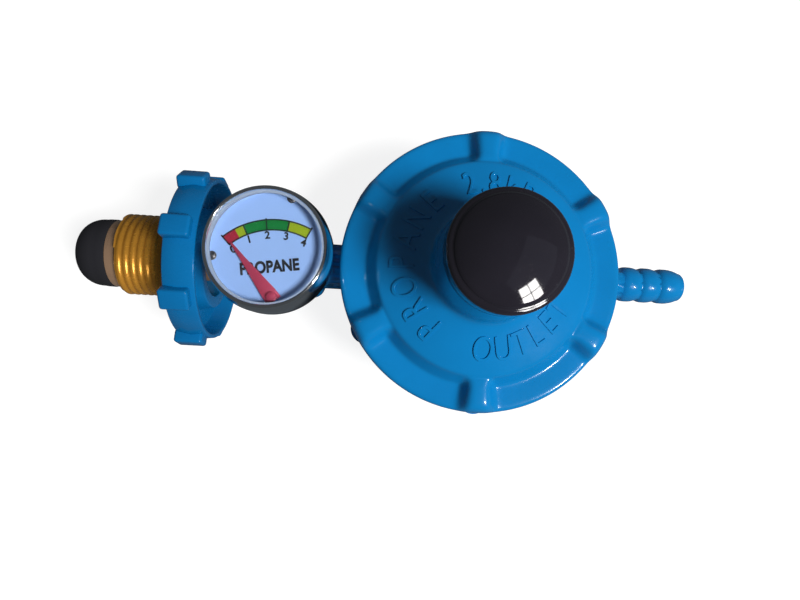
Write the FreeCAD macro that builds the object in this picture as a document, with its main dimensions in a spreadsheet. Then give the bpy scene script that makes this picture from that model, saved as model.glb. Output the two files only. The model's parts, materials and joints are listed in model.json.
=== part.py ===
"""Low-pressure LP-gas regulator with a hand-wheel cylinder inlet, a pressure gauge and a hose-barb outlet.

Frame: millimetres, +Z up along the diaphragm axis, +X from the inlet to the outlet. The origin is the centre
of the flat underside of the lower housing. Every driving size is a cell of the spreadsheet "Sizes".
"""

import FreeCAD, Part, Sketcher

import math
import os

Vector = FreeCAD.Vector

# ---------------------------------------------------------------- driving dimensions
DRIVING_SIZES = {
    # lower housing
    "axis_height": 13.0,        # inlet and outlet line above the underside
    "base_radius": 21.0,
    "base_round": 2.5,
    "bowl_radius": 29.6,        # outside of the bowl where it meets the flange
    "flange_radius": 38.0,
    "flange_bottom": 16.0,
    "joint_plane": 20.2,        # where housing and bonnet meet
    "chamber_radius": 27.4,
    "chamber_draft": 5.5,
    "chamber_floor": 4.6,
    "clamp_radius": 32.5,       # outer radius of the diaphragm
    "screw_circle": 34.6,
    "screw_radius": 2.0,
    "screw_clearance": 0.15,
    "screw_head_radius": 3.7,
    "screw_head_height": 2.3,
    "screw_boss_radius": 4.3,
    "screw_boss_drop": 1.0,
    "screw_tip": 26.2,
    # inlet neck, gauge boss and outlet barb
    "port_face": 66.0,          # distance of the inlet port's face from the diaphragm axis
    "hub_radius": 9.2,
    "hub_end": 45.4,
    "neck_radius": 6.35,
    "neck_start": 42.6,
    "port_radius": 6.0,
    "port_depth": 6.0,
    "passage_radius": 2.2,
    "outlet_neck_radius": 6.0,
    "barb_root": 40.2,
    "barb_first": 42.6,
    "barb_pitch": 5.4,
    "barb_tip": 61.0,
    "barb_crest": 5.05,
    "barb_valley": 4.45,
    "barb_land": 1.0,
    "barb_nose": 4.1,
    "outlet_bore": 2.9,
    # bonnet
    "rim_radius": 38.15,
    "rim_top": 24.7,
    "rim_round": 0.9,
    "shelf_foot": 31.2,
    "shelf_radius": 28.4,
    "shelf_height": 28.9,
    "shelf_round": 0.9,
    "tower_base_radius": 14.6,
    "tower_base_height": 34.0,
    "tower_radius": 13.5,
    "tower_shoulder": 49.0,
    "spigot_radius": 12.4,
    "tower_top": 53.6,
    "bonnet_bore": 11.5,
    "bonnet_wall": 2.4,
    "rib_width": 6.2,
    "rib_top": 28.5,
    "vent_radius": 0.8,
    "vent_height": 43.0,
    # cap
    "cap_radius": 13.9,
    "cap_shoulder": 55.2,
    "cap_crown_radius": 12.1,
    "cap_crown_height": 57.0,
    "cap_apex": 60.6,
    "cap_wall": 1.5,
    # diaphragm stack and adjuster
    "rubber": 1.0,
    "convolution_outer": 27.2,
    "convolution_inner": 21.0,
    "plate_radius": 19.6,
    "stem_radius": 2.5,
    "stem_foot_radius": 4.4,
    "spring_radius": 8.0,
    "spring_wire": 0.9,
    "spring_turns": 5.0,
    "seat_bottom": 43.4,
    "seat_top": 45.0,
    "adjuster_top": 50.4,
    "adjuster_radius": 11.44,
    # valve and lever
    "nozzle_inner": 20.6,       # distance of the nozzle's shoulder from the diaphragm axis
    "nozzle_seat": 18.4,
    "valve_gap": 0.5,
    "plunger_radius": 2.8,
    "pivot_x": 11.0,            # lever pin, distance from the diaphragm axis
    "pivot_height": 8.2,
    "pin_radius": 1.0,
    # inlet connector
    "nose_tip": 110.4,
    "nose_back": 100.4,
    "nose_radius": 9.4,
    "nose_flat": 4.2,
    "nose_bore": 2.5,
    "head_radius": 9.3,
    "head_back": 97.4,
    "nipple_radius": 6.2,
    "nut_front": 96.6,
    "nut_bore": 6.28,
    "nut_nose_radius": 9.7,
    "thread_radius": 11.24,     # 0.885 inch, 14 threads an inch, left hand
    "thread_front": 92.8,
    "thread_back": 84.4,
    "shank_radius": 10.2,
    "wheel_front": 80.6,
    "wheel_back": 72.6,
    "hex_flats": 20.0,
    "hex_back": 73.2,
    "wheel_radius": 22.3,
    "wheel_parting": 22.9,
    "wheel_web": 3.4,
    "wheel_inner": 20.3,
    "wheel_hub": 13.6,
    "lobe_radius": 24.6,
    "lobe_width": 5.6,
    "lobe_count": 8.0,
    # gauge
    "gauge_x": -54.7,
    "gauge_yaw": 8.5,
    "boss_top": 22.6,
    "washer_top": 23.8,
    "gauge_thread": 5.0,
    "case_bottom": 27.2,
    "case_top": 38.6,
    "case_radius": 14.5,
    "case_wall": 0.55,
    "bezel_radius": 15.5,
    "bezel_skirt": 29.0,
    "bezel_top": 41.2,
    "window_radius": 13.5,
    "lens_apex": 42.3,
    "dial_height": 35.2,
    "dial_thick": 0.4,
    "dial_radius": 13.9,
    "pivot_offset": 11.6,       # pointer pivot, below the dial's centre
    "pointer_length": 16.3,
    "pointer_height": 36.5,
}


class Size:
    """A length or angle as both a number and the spreadsheet expression that gives it."""

    def __init__(self, value, text):
        self.value = value
        self.text = text

    @staticmethod
    def of(other):
        """Any number as a Size."""
        return other if isinstance(other, Size) else Size(float(other), repr(float(other)))

    def join(self, other, sign, result):
        return Size(result, f"({self.text} {sign} {Size.of(other).text})")

    def __add__(self, other):
        return self.join(other, "+", self.value + Size.of(other).value)

    def __sub__(self, other):
        return self.join(other, "-", self.value - Size.of(other).value)

    def __rsub__(self, other):
        return Size.of(other) - self

    def __mul__(self, other):
        return self.join(other, "*", self.value * Size.of(other).value)

    def __truediv__(self, other):
        return self.join(other, "/", self.value / Size.of(other).value)

    def __neg__(self):
        return Size(-self.value, f"(0 - {self.text})")


def make_sheet(doc):
    """Writes the driving sizes to a spreadsheet and returns them by name."""
    sheet = doc.addObject("Spreadsheet::Sheet", "Sizes")
    sizes = {}
    for row, (name, value) in enumerate(DRIVING_SIZES.items(), start=1):
        sheet.set(f"A{row}", name)
        sheet.set(f"B{row}", str(value))
        sheet.setAlias(f"B{row}", name)
        sizes[name] = Size(value, f"Sizes.{name}")
    doc.recompute()
    return sizes


doc = FreeCAD.newDocument("gas_regulator")
S = make_sheet(doc)
ZERO = Size(0.0, "0")


# ---------------------------------------------------------------- drawing helpers
def new_body(label):
    body = doc.addObject("PartDesign::Body", label)
    body.Label = label
    return body


def new_sketch(body, name, role="XZ_Plane", shift=(ZERO, ZERO, ZERO)):
    """A sketch on one of the body's own planes, its origin shifted within and off that plane."""
    sketch = body.newObject("Sketcher::SketchObject", name)
    plane = [f for f in body.Origin.OriginFeatures if f.Role == role][0]
    sketch.AttachmentSupport = [(plane, "")]
    sketch.MapMode = "FlatFace"
    for axis, size in zip("xyz", shift):
        if size is not ZERO:
            sketch.setExpression(f"AttachmentOffset.Base.{axis}", size.text)
    return sketch


def pin_down(sketch, kind, geometry, point, size):
    """Ties one coordinate of a point to the sheet, measured from the sketch's origin."""
    index = sketch.addConstraint(Sketcher.Constraint(kind, -1, 1, geometry, point, size.value))
    sketch.setExpression(f"Constraints[{index}]", size.text)


def arc_between(start, end, radius, side):
    """The minor arc from start to end, bulging to the left (+1) or right (-1), and whether it runs backwards."""
    chord = end - start
    across = Vector(-chord.y, chord.x, 0).normalize()
    sagging = math.sqrt(max(radius**2 - (chord.Length / 2) ** 2, 0.0))
    centre = (start + end) * 0.5 - across * (sagging * side)
    angles = [math.atan2(p.y - centre.y, p.x - centre.x) for p in (start, end)]
    backwards = side > 0
    if backwards:
        angles.reverse()
    if angles[1] < angles[0]:
        angles[1] += 2 * math.pi
    return Part.ArcOfCircle(Part.Circle(centre, Vector(0, 0, 1), radius), *angles), backwards


def outline(sketch, corners):
    """Closes a chain of lines and arcs. A corner is (a, b), or (a, b, radius, side) where an arc leaves it."""
    points = [tuple(Size.of(v) for v in corner[:2]) for corner in corners]
    places = [Vector(a.value, b.value, 0) for a, b in points]
    ends = []
    for i, corner in enumerate(corners):
        start, end = places[i], places[(i + 1) % len(corners)]
        if len(corner) == 2:
            geometry = sketch.addGeometry(Part.LineSegment(start, end), False)
            ends.append((geometry, 1, 2))
            continue
        radius = Size.of(corner[2])
        arc, backwards = arc_between(start, end, radius.value, corner[3])
        geometry = sketch.addGeometry(arc, False)
        ends.append((geometry, 2, 1) if backwards else (geometry, 1, 2))
        index = sketch.addConstraint(Sketcher.Constraint("Radius", geometry, radius.value))
        sketch.setExpression(f"Constraints[{index}]", radius.text)
    for i, (geometry, first, last) in enumerate(ends):
        following = ends[(i + 1) % len(ends)]
        sketch.addConstraint(Sketcher.Constraint("Coincident", geometry, last, following[0], following[1]))
        pin_down(sketch, "DistanceX", geometry, first, points[i][0])
        pin_down(sketch, "DistanceY", geometry, first, points[i][1])


def circle(sketch, a, b, radius):
    """A circle centred at (a, b)."""
    a, b, radius = Size.of(a), Size.of(b), Size.of(radius)
    round_edge = Part.Circle(Vector(a.value, b.value, 0), Vector(0, 0, 1), radius.value)
    geometry = sketch.addGeometry(round_edge, False)
    pin_down(sketch, "DistanceX", geometry, 3, a)
    pin_down(sketch, "DistanceY", geometry, 3, b)
    index = sketch.addConstraint(Sketcher.Constraint("Radius", geometry, radius.value))
    sketch.setExpression(f"Constraints[{index}]", radius.text)


def dome_radius(half_width, rise):
    """The radius of a dome of that half width and rise."""
    return (half_width * half_width + rise * rise) / (rise * 2)


def hexagon(flats, phase=0.0):
    """The corners of a hexagon of that size across the flats."""
    reach = flats / (2 * math.cos(math.pi / 6))
    turns = [math.radians(phase + 60 * k) for k in range(6)]
    return [(reach * math.cos(t), reach * math.sin(t)) for t in turns]


def rectangle(left, right, low, high):
    return [(left, low), (right, low), (right, high), (left, high)]


def turned(body, name, corners, axis="V_Axis", shift=(ZERO, ZERO, ZERO), cut=False):
    """Turns an outline about the sketch's own vertical or horizontal axis, adding or cutting."""
    sketch = new_sketch(body, name + "_outline", "XZ_Plane", shift)
    outline(sketch, corners)
    feature = body.newObject("PartDesign::Groove" if cut else "PartDesign::Revolution", name)
    feature.Profile = sketch
    feature.ReferenceAxis = (sketch, [axis])
    feature.Angle = 360
    doc.recompute()
    return feature


def raised(body, name, draw, length, role="XY_Plane", shift=(ZERO, ZERO, ZERO), backwards=False, both=False,
           cut=False):
    """Pads or pockets a sketch by a length. draw is called with the sketch."""
    sketch = new_sketch(body, name + "_outline", role, shift)
    draw(sketch)
    feature = body.newObject("PartDesign::Pocket" if cut else "PartDesign::Pad", name)
    feature.Profile = sketch
    feature.setExpression("Length", Size.of(length).text)
    feature.Reversed = backwards
    feature.Midplane = both
    doc.recompute()
    return feature


def repeated(body, name, features, count, role="Z_Axis"):
    """Repeats features evenly round one of the body's axes."""
    pattern = body.newObject("PartDesign::PolarPattern", name)
    pattern.Originals = features
    axis = [f for f in body.Origin.OriginFeatures if f.Role == role][0]
    pattern.Axis = (axis, [""])
    pattern.Angle = 360
    pattern.Occurrences = count
    body.Tip = pattern
    doc.recompute()
    return pattern


def rounded(body, name, radius, chosen):
    """Fillets the edges of the body's last feature that chosen(edge) picks."""
    base = body.Tip
    edges = [f"Edge{i}" for i, e in enumerate(base.Shape.Edges, start=1) if chosen(e)]
    fillet = body.newObject("PartDesign::Fillet", name)
    fillet.Base = (base, edges)
    fillet.setExpression("Radius", radius.text)
    doc.recompute()
    return fillet


def place(item, x=ZERO, z=ZERO, yaw=None):
    """Moves an object to its place, bound to the sheet."""
    item.setExpression("Placement.Base.x", x.text)
    item.setExpression("Placement.Base.z", z.text)
    if yaw is not None:
        item.Placement.Rotation = FreeCAD.Rotation(Vector(0, 0, 1), yaw.value)
        item.setExpression("Placement.Rotation.Angle", yaw.text)
    return item


def group(label, shapes):
    """Several equal solids in one node."""
    feature = doc.addObject("Part::Feature", label)
    feature.Label = label
    feature.Shape = Part.makeCompound(shapes)
    return feature


def around_z(shape, count, first):
    """Copies of a shape spaced evenly round the Z axis, the first turned by that many degrees."""
    copies = []
    for k in range(count):
        copy = shape.copy()
        copy.rotate(Vector(0, 0, 0), Vector(0, 0, 1), first + 360 * k / count)
        copies.append(copy)
    return copies


PARTS = []


def finished(item):
    """Adds a finished sub-part to those that are written out."""
    PARTS.append(item)
    return item


SCREWS = 6
APEX_FLAT = 0.3                               # radius of the tiny flat that closes a dome at its top
ON_AXIS = (ZERO, S["axis_height"], ZERO)      # sketch origin on the inlet and outlet line


# ---------------------------------------------------------------- lower housing
def barb_outline():
    """Three rounded hose ridges and the tip, each ridge with a short land at its crest."""
    corners = []
    for k in range(3):
        start = S["barb_first"] + S["barb_pitch"] * k
        crest = start + S["barb_pitch"] * 0.36
        corners.append((start, S["barb_valley"], 3.2, 1))
        corners.append((crest, S["barb_crest"]))
        corners.append((crest + S["barb_land"], S["barb_crest"], 6.0 if k < 2 else 9.0, 1))
    last = S["barb_tip"] - 0.9
    corners.append((last, S["barb_nose"], 0.9, 1))
    corners.append((S["barb_tip"], S["barb_nose"] - 0.9))
    return corners


def lower_housing():
    body = new_body("lower_housing")
    turned(body, "bowl", [
        (0, 0),
        (S["base_radius"], 0, S["base_round"], -1),
        (S["base_radius"] + S["base_round"], S["base_round"]),
        (S["bowl_radius"], S["flange_bottom"]),
        (S["flange_radius"] - 0.8, S["flange_bottom"], 0.8, -1),
        (S["flange_radius"], S["flange_bottom"] + 0.8),
        (S["flange_radius"], S["joint_plane"]),
        (0, S["joint_plane"]),
    ])
    raised(body, "screw_boss", lambda s: circle(s, 0, S["screw_circle"], S["screw_boss_radius"]),
           S["joint_plane"] - S["flange_bottom"] + S["screw_boss_drop"],
           shift=(ZERO, ZERO, S["flange_bottom"] - S["screw_boss_drop"]))
    repeated(body, "screw_bosses", [body.Tip], SCREWS)
    turned(body, "necks", [
        (-S["port_face"], 0),
        (-S["port_face"], S["hub_radius"] - 0.8, 0.8, 1),
        (-S["port_face"] + 0.8, S["hub_radius"]),
        (-S["hub_end"], S["hub_radius"], 3.4, 1),
        (-S["neck_start"], S["neck_radius"]),
        (-S["shelf_radius"], S["neck_radius"]),
        (-S["shelf_radius"], S["outlet_neck_radius"]),
        (S["rim_radius"] - 1.0, S["outlet_neck_radius"], 2.6, 1),
        (S["barb_root"], S["barb_valley"]),
        *barb_outline(),
        (S["barb_tip"], 0),
    ], axis="H_Axis", shift=ON_AXIS)
    raised(body, "gauge_boss", lambda s: circle(s, S["gauge_x"], 0, S["hub_radius"] - 0.9),
           S["boss_top"] - S["axis_height"], shift=(ZERO, ZERO, S["axis_height"]))
    turned(body, "chamber", [
        (0, S["chamber_floor"]),
        (S["chamber_radius"] - S["chamber_draft"], S["chamber_floor"]),
        (S["chamber_radius"], S["joint_plane"] - S["rubber"]),
        (S["clamp_radius"], S["joint_plane"] - S["rubber"]),
        (S["clamp_radius"], S["joint_plane"] + 1.0),
        (0, S["joint_plane"] + 1.0),
    ], cut=True)
    inside_bosses(body)
    turned(body, "inlet_way", [
        (-S["port_face"] - 1.0, 0),
        (-S["port_face"] - 1.0, S["port_radius"]),
        (-S["port_face"] + S["port_depth"], S["port_radius"]),
        (-S["port_face"] + S["port_depth"], S["passage_radius"]),
        (-S["nozzle_inner"] - 7.0, S["passage_radius"]),
        (-S["nozzle_inner"] - 7.0, 3.5),
        (-S["nozzle_inner"] + 1.0, 3.5),
        (-S["nozzle_inner"] + 1.0, 0),
    ], axis="H_Axis", shift=ON_AXIS, cut=True)
    turned(body, "outlet_way", [
        (S["chamber_radius"] - 4.0, 0),
        (S["barb_tip"] + 1.0, 0),
        (S["barb_tip"] + 1.0, S["outlet_bore"]),
        (S["chamber_radius"] - 4.0, S["outlet_bore"]),
    ], axis="H_Axis", shift=ON_AXIS, cut=True)
    turned(body, "gauge_port", [
        (0, S["axis_height"]),
        (1.6, S["axis_height"]),
        (1.6, S["boss_top"] - 6.6),
        (S["gauge_thread"], S["boss_top"] - 6.6),
        (S["gauge_thread"], S["boss_top"] + 1.0),
        (0, S["boss_top"] + 1.0),
    ], shift=(S["gauge_x"], ZERO, ZERO), cut=True)
    raised(body, "screw_hole", lambda s: circle(s, 0, S["screw_circle"], S["screw_radius"] + S["screw_clearance"]),
           S["joint_plane"], shift=(ZERO, ZERO, S["joint_plane"] + 0.5), cut=True)
    repeated(body, "screw_holes", [body.Tip], SCREWS)
    return finished(body)


def inside_bosses(body):
    """What stands inside the chamber: the nozzle boss, the plunger guide and the lever's two pin posts."""
    turned(body, "nozzle_boss", [
        (-S["chamber_radius"] + 0.2, 0),
        (-S["nozzle_inner"], 0),
        (-S["nozzle_inner"], 5.4),
        (-S["chamber_radius"] + 0.2, 5.4),
    ], axis="H_Axis", shift=ON_AXIS)
    guide_front = -S["pivot_x"] - 2.4
    raised(body, "guide", lambda s: outline(s, rectangle(guide_front - 2.8, guide_front, -4.6, 4.6)),
           16.4 - S["chamber_floor"], shift=(ZERO, ZERO, S["chamber_floor"]))
    for name, near in (("post_front", -6.4), ("post_back", 4.0)):
        raised(body, name, lambda s: outline(s, rectangle(-S["pivot_x"] - 2, -S["pivot_x"] + 2, near, near + 2.4)),
               S["pivot_height"] + 2.0 - S["chamber_floor"], shift=(ZERO, ZERO, S["chamber_floor"]))
    turned(body, "guide_bore", [
        (guide_front - 3.4, 0),
        (guide_front + 0.6, 0),
        (guide_front + 0.6, S["plunger_radius"] + 0.05),
        (guide_front - 3.4, S["plunger_radius"] + 0.05),
    ], axis="H_Axis", shift=ON_AXIS, cut=True)
    raised(body, "pin_bore", lambda s: circle(s, -S["pivot_x"], S["pivot_height"], S["pin_radius"]), 13.2,
           role="XZ_Plane", both=True, cut=True)


# ---------------------------------------------------------------- bonnet and cap
def bonnet():
    body = new_body("bonnet")
    turned(body, "shell", [
        (0, S["joint_plane"]),
        (S["rim_radius"], S["joint_plane"]),
        (S["rim_radius"], S["rim_top"]),
        (S["shelf_foot"], S["rim_top"]),
        (S["shelf_radius"] + 0.5, S["shelf_height"] - 0.6, S["shelf_round"], -1),
        (S["shelf_radius"] - 0.4, S["shelf_height"]),
        (S["tower_base_radius"] + 1.3, S["tower_base_height"] - 0.3, 2.2, 1),
        (S["tower_base_radius"], S["tower_base_height"] + 1.2),
        (S["tower_radius"], S["tower_shoulder"]),
        (S["spigot_radius"], S["tower_shoulder"]),
        (S["spigot_radius"], S["tower_top"] - 0.5),
        (S["spigot_radius"] - 0.5, S["tower_top"]),
        (0, S["tower_top"]),
    ])
    bonnet_ribs(body)
    turned(body, "spring_chamber", [
        (0, S["joint_plane"] - 1.0),
        (S["chamber_radius"] + 0.4, S["joint_plane"] - 1.0),
        (S["chamber_radius"] + 0.4, S["rim_top"] - 0.6),
        (S["shelf_radius"] - 2.6, S["shelf_height"] - S["bonnet_wall"]),
        (S["bonnet_bore"], S["tower_base_height"] - S["bonnet_wall"]),
        (S["bonnet_bore"], S["tower_top"] + 1.0),
        (0, S["tower_top"] + 1.0),
    ], cut=True)
    raised(body, "screw_hole", lambda s: circle(s, 0, S["screw_circle"], S["screw_radius"]),
           S["screw_tip"] - S["joint_plane"] + 0.3, shift=(ZERO, ZERO, S["joint_plane"]), cut=True, backwards=True)
    repeated(body, "screw_holes", [body.Tip], SCREWS)
    raised(body, "vent", lambda s: circle(s, 0, S["vent_height"], S["vent_radius"]), 20.0, role="XZ_Plane",
           cut=True)
    return finished(body)


def bonnet_ribs(body):
    """Half-round ribs over the screws, rounded off at the rim and blended into it."""
    half = S["rib_width"] / 2
    spring_line = S["rib_top"] - half

    def section(sketch):
        outline(sketch, [(-half, S["joint_plane"]), (half, S["joint_plane"]), (half, spring_line, half, -1),
                         (0, S["rib_top"], half, -1), (-half, spring_line)])

    start = S["shelf_radius"] - 4.0
    raised(body, "rib", section, S["rim_radius"] - start + 1.0, role="XZ_Plane", shift=(ZERO, ZERO, -start),
           backwards=True)
    repeated(body, "ribs", [body.Tip], SCREWS)
    rim = S["rim_radius"]
    turned(body, "rib_ends", [(rim, S["joint_plane"] - 1.0), (rim + 3.0, S["joint_plane"] - 1.0),
                              (rim + 3.0, S["rib_top"] + 1.0), (rim, S["rib_top"] + 1.0)], cut=True)
    rounded(body, "rib_and_rim_rounds", S["rim_round"], is_rib_or_rim_edge)


def is_rib_or_rim_edge(edge):
    """The straight foot of each rib, and the top edge of the rim and the rib ends."""
    middle = edge.valueAt((edge.FirstParameter + edge.LastParameter) / 2)
    reach = math.hypot(middle.x, middle.y)
    rim, top = S["rim_radius"].value, S["rim_top"].value
    on_rim = reach > rim - 0.05 and middle.z > top - 0.05
    rib_foot = abs(middle.z - top) < 0.01 and edge.BoundBox.ZLength < 0.01 and isinstance(edge.Curve, Part.Line)
    return on_rim or (rib_foot and reach > S["shelf_foot"].value)


def adjuster_cap():
    """Snap-on dome over the adjusting screw."""
    body = new_body("adjuster_cap")
    wall = S["cap_wall"]
    bore = S["spigot_radius"] + 0.05
    outer_dome = dome_radius(S["cap_crown_radius"], S["cap_apex"] - S["cap_crown_height"] + 0.2)
    inner_dome = dome_radius(S["cap_crown_radius"] - wall, S["cap_apex"] - S["cap_crown_height"])
    turned(body, "shell", [
        (bore, S["tower_shoulder"] + 0.1),
        (S["cap_radius"] - 0.3, S["tower_shoulder"] + 0.1),
        (S["cap_radius"], S["tower_shoulder"] + 0.4),
        (S["cap_radius"], S["cap_shoulder"] - 1.0, 1.6, -1),
        (S["cap_radius"] - 0.7, S["cap_shoulder"] + 0.5),
        (S["cap_crown_radius"], S["cap_crown_height"] - 0.2, outer_dome, -1),
        (APEX_FLAT, S["cap_apex"]),
        (0, S["cap_apex"]),
        (0, S["cap_apex"] - wall),
        (APEX_FLAT, S["cap_apex"] - wall, inner_dome, 1),
        (S["cap_crown_radius"] - wall, S["cap_crown_height"] - wall),
        (bore, S["tower_top"] + 0.6),
    ])
    return finished(body)


def flange_screws():
    """Six pan-head screws, driven from below through the housing into the bonnet's ribs."""
    body = new_body("one_screw")
    seat = S["flange_bottom"] - S["screw_boss_drop"]
    turned(body, "turned_screw", [
        (0, seat - S["screw_head_height"]),
        (S["screw_head_radius"] - 1.0, seat - S["screw_head_height"], 1.2, -1),
        (S["screw_head_radius"], seat - S["screw_head_height"] + 1.0),
        (S["screw_head_radius"], seat),
        (S["screw_radius"], seat),
        (S["screw_radius"], S["screw_tip"] - 1.0),
        (S["screw_radius"] - 0.8, S["screw_tip"]),
        (0, S["screw_tip"]),
    ])
    for name, wide, deep in (("slot", 1.9, 0.45), ("cross_slot", 0.45, 1.9)):
        raised(body, name, lambda s: outline(s, rectangle(-wide, wide, -deep, deep)), 1.3,
               shift=(ZERO, ZERO, seat - S["screw_head_height"]), cut=True, backwards=True)
    one = body.Shape.copy()
    one.translate(Vector(0, S["screw_circle"].value, 0))
    return finished(group("flange_screws", around_z(one, SCREWS, 0)))


# ---------------------------------------------------------------- diaphragm stack
def diaphragm():
    body = new_body("diaphragm")
    low = S["joint_plane"] - S["rubber"]
    turned(body, "disc", [
        (S["stem_radius"], low),
        (S["convolution_inner"] + 0.7, low, 2.9, 1),
        (S["convolution_outer"] - 0.7, low),
        (S["clamp_radius"], low),
        (S["clamp_radius"], S["joint_plane"]),
        (S["convolution_outer"], S["joint_plane"], 3.8, -1),
        (S["convolution_inner"], S["joint_plane"]),
        (S["stem_radius"], S["joint_plane"]),
    ])
    return finished(body)


def diaphragm_plate():
    """Pressed plate on top of the rubber, with an upturned edge and a ring that centres the spring."""
    body = new_body("diaphragm_plate")
    base = S["joint_plane"]
    turned(body, "pressing", [
        (S["stem_radius"], base),
        (S["plate_radius"] - 0.8, base, 0.8, -1),
        (S["plate_radius"], base + 0.8),
        (S["plate_radius"], base + 1.8),
        (S["plate_radius"] - 0.9, base + 1.8),
        (S["plate_radius"] - 0.9, base + 1.0),
        (S["spring_radius"] + 2.0, base + 1.0),
        (S["spring_radius"] + 2.0, base + 2.2),
        (S["spring_radius"] + 1.1, base + 2.2),
        (S["spring_radius"] + 1.1, base + 1.0),
        (S["stem_radius"], base + 1.0),
    ])
    return finished(body)


def clamp_washer():
    body = new_body("clamp_washer")
    top = S["joint_plane"] - S["rubber"]
    turned(body, "disc", [(S["stem_radius"], top - 1.0), (11.6, top - 1.0), (12.0, top - 0.6), (12.0, top),
                          (S["stem_radius"], top)])
    return finished(body)


def diaphragm_stem():
    """Stem through the diaphragm. Its foot has a slot that takes the end of the lever."""
    body = new_body("diaphragm_stem")
    collar = S["joint_plane"] - S["rubber"] - 1.0
    turned(body, "turned_stem", [
        (0, 9.4),
        (S["stem_foot_radius"] - 0.5, 9.4),
        (S["stem_foot_radius"], 9.9),
        (S["stem_foot_radius"], collar),
        (S["stem_radius"], collar),
        (S["stem_radius"], S["joint_plane"] + 4.6),
        (S["stem_radius"] - 0.5, S["joint_plane"] + 5.1),
        (0, S["joint_plane"] + 5.1),
    ])
    raised(body, "lever_slot", lambda s: outline(s, rectangle(-2.3, 2.3, 11.0, 14.2)), 20.0, role="YZ_Plane",
           both=True, cut=True)
    return finished(body)


def stem_nut():
    body = new_body("stem_nut")
    bottom = S["joint_plane"] + 1.0

    def section(sketch):
        outline(sketch, hexagon(8.0))
        circle(sketch, 0, 0, S["stem_radius"])

    raised(body, "nut", section, 3.0, shift=(ZERO, ZERO, bottom))
    return finished(body)


# ---------------------------------------------------------------- spring and adjuster
def main_spring():
    helix = doc.addObject("Part::Helix", "spring_line")
    low = S["joint_plane"] + 1.0 + S["spring_wire"]
    rise = S["seat_bottom"] - S["spring_wire"] - low
    helix.setExpression("Radius", S["spring_radius"].text)
    helix.setExpression("Height", rise.text)
    helix.setExpression("Pitch", (rise / S["spring_turns"]).text)
    wire = doc.addObject("Part::Circle", "spring_section")
    wire.setExpression("Radius", S["spring_wire"].text)
    wire.Placement.Rotation = FreeCAD.Rotation(Vector(1, 0, 0), 90)
    wire.setExpression("Placement.Base.x", S["spring_radius"].text)
    doc.recompute()
    sweep = doc.addObject("Part::Sweep", "main_spring")
    sweep.Label = "main_spring"
    sweep.Sections = [wire]
    sweep.Spine = (helix, ["Edge1"])
    sweep.Solid = True
    sweep.Frenet = True
    place(sweep, z=low)
    return finished(sweep)


def spring_seat():
    """Washer between the spring and the adjusting screw."""
    body = new_body("spring_seat")
    turned(body, "washer", [
        (0, S["seat_bottom"] - 3.0),
        (S["spring_radius"] - 2.4, S["seat_bottom"] - 3.0),
        (S["spring_radius"] - 1.6, S["seat_bottom"] - 2.0),
        (S["spring_radius"] - 1.6, S["seat_bottom"]),
        (S["bonnet_bore"] - 0.9, S["seat_bottom"]),
        (S["bonnet_bore"] - 0.9, S["seat_top"]),
        (0, S["seat_top"]),
    ])
    return finished(body)


def adjusting_screw():
    """Threaded plug in the tower, turned with a screwdriver or key to load the spring."""
    body = new_body("adjusting_screw")
    turned(body, "plug", [
        (0, S["seat_top"] + 0.02),
        (S["adjuster_radius"] - 0.5, S["seat_top"] + 0.02),
        (S["adjuster_radius"], S["seat_top"] + 0.5),
        (S["adjuster_radius"], S["adjuster_top"] - 0.5),
        (S["adjuster_radius"] - 0.5, S["adjuster_top"]),
        (8.6, S["adjuster_top"]),
        (7.6, S["adjuster_top"] - 1.6),
        (0, S["adjuster_top"] - 1.6),
    ])
    raised(body, "slot", lambda s: outline(s, rectangle(-7.0, 7.0, -1.0, 1.0)), 1.4,
           shift=(ZERO, ZERO, S["adjuster_top"] - 1.6), cut=True)
    raised(body, "key_hole", lambda s: outline(s, hexagon(6.0)), 2.6,
           shift=(ZERO, ZERO, S["adjuster_top"] - 1.6), cut=True)
    return finished(body)


# ---------------------------------------------------------------- valve
def inlet_nozzle():
    body = new_body("inlet_nozzle")
    turned(body, "turned_nozzle", [
        (-S["nozzle_inner"] - 6.6, 1.1),
        (-S["nozzle_inner"] - 6.6, 3.0),
        (-S["nozzle_inner"] - 6.1, 3.5),
        (-S["nozzle_inner"], 3.5),
        (-S["nozzle_inner"], 4.8),
        (-S["nozzle_seat"] - 0.9, 4.8),
        (-S["nozzle_seat"] - 0.9, 2.4),
        (-S["nozzle_seat"], 1.8),
        (-S["nozzle_seat"], 1.1),
    ], axis="H_Axis", shift=ON_AXIS)
    return finished(body)


def inlet_filter():
    """Sintered disc that keeps dirt out of the nozzle."""
    body = new_body("inlet_filter")
    back = -S["port_face"] + S["port_depth"]
    turned(body, "disc", [
        (back - 1.2, 0),
        (back, 0),
        (back, S["port_radius"]),
        (back - 1.2, S["port_radius"]),
    ], axis="H_Axis", shift=ON_AXIS)
    return finished(body)


def valve_disc():
    body = new_body("valve_disc")
    face = -S["nozzle_seat"] + S["valve_gap"]
    turned(body, "disc", [(face, 0), (face + 1.4, 0), (face + 1.4, 2.2), (face, 2.2)], axis="H_Axis",
           shift=ON_AXIS)
    return finished(body)


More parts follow.
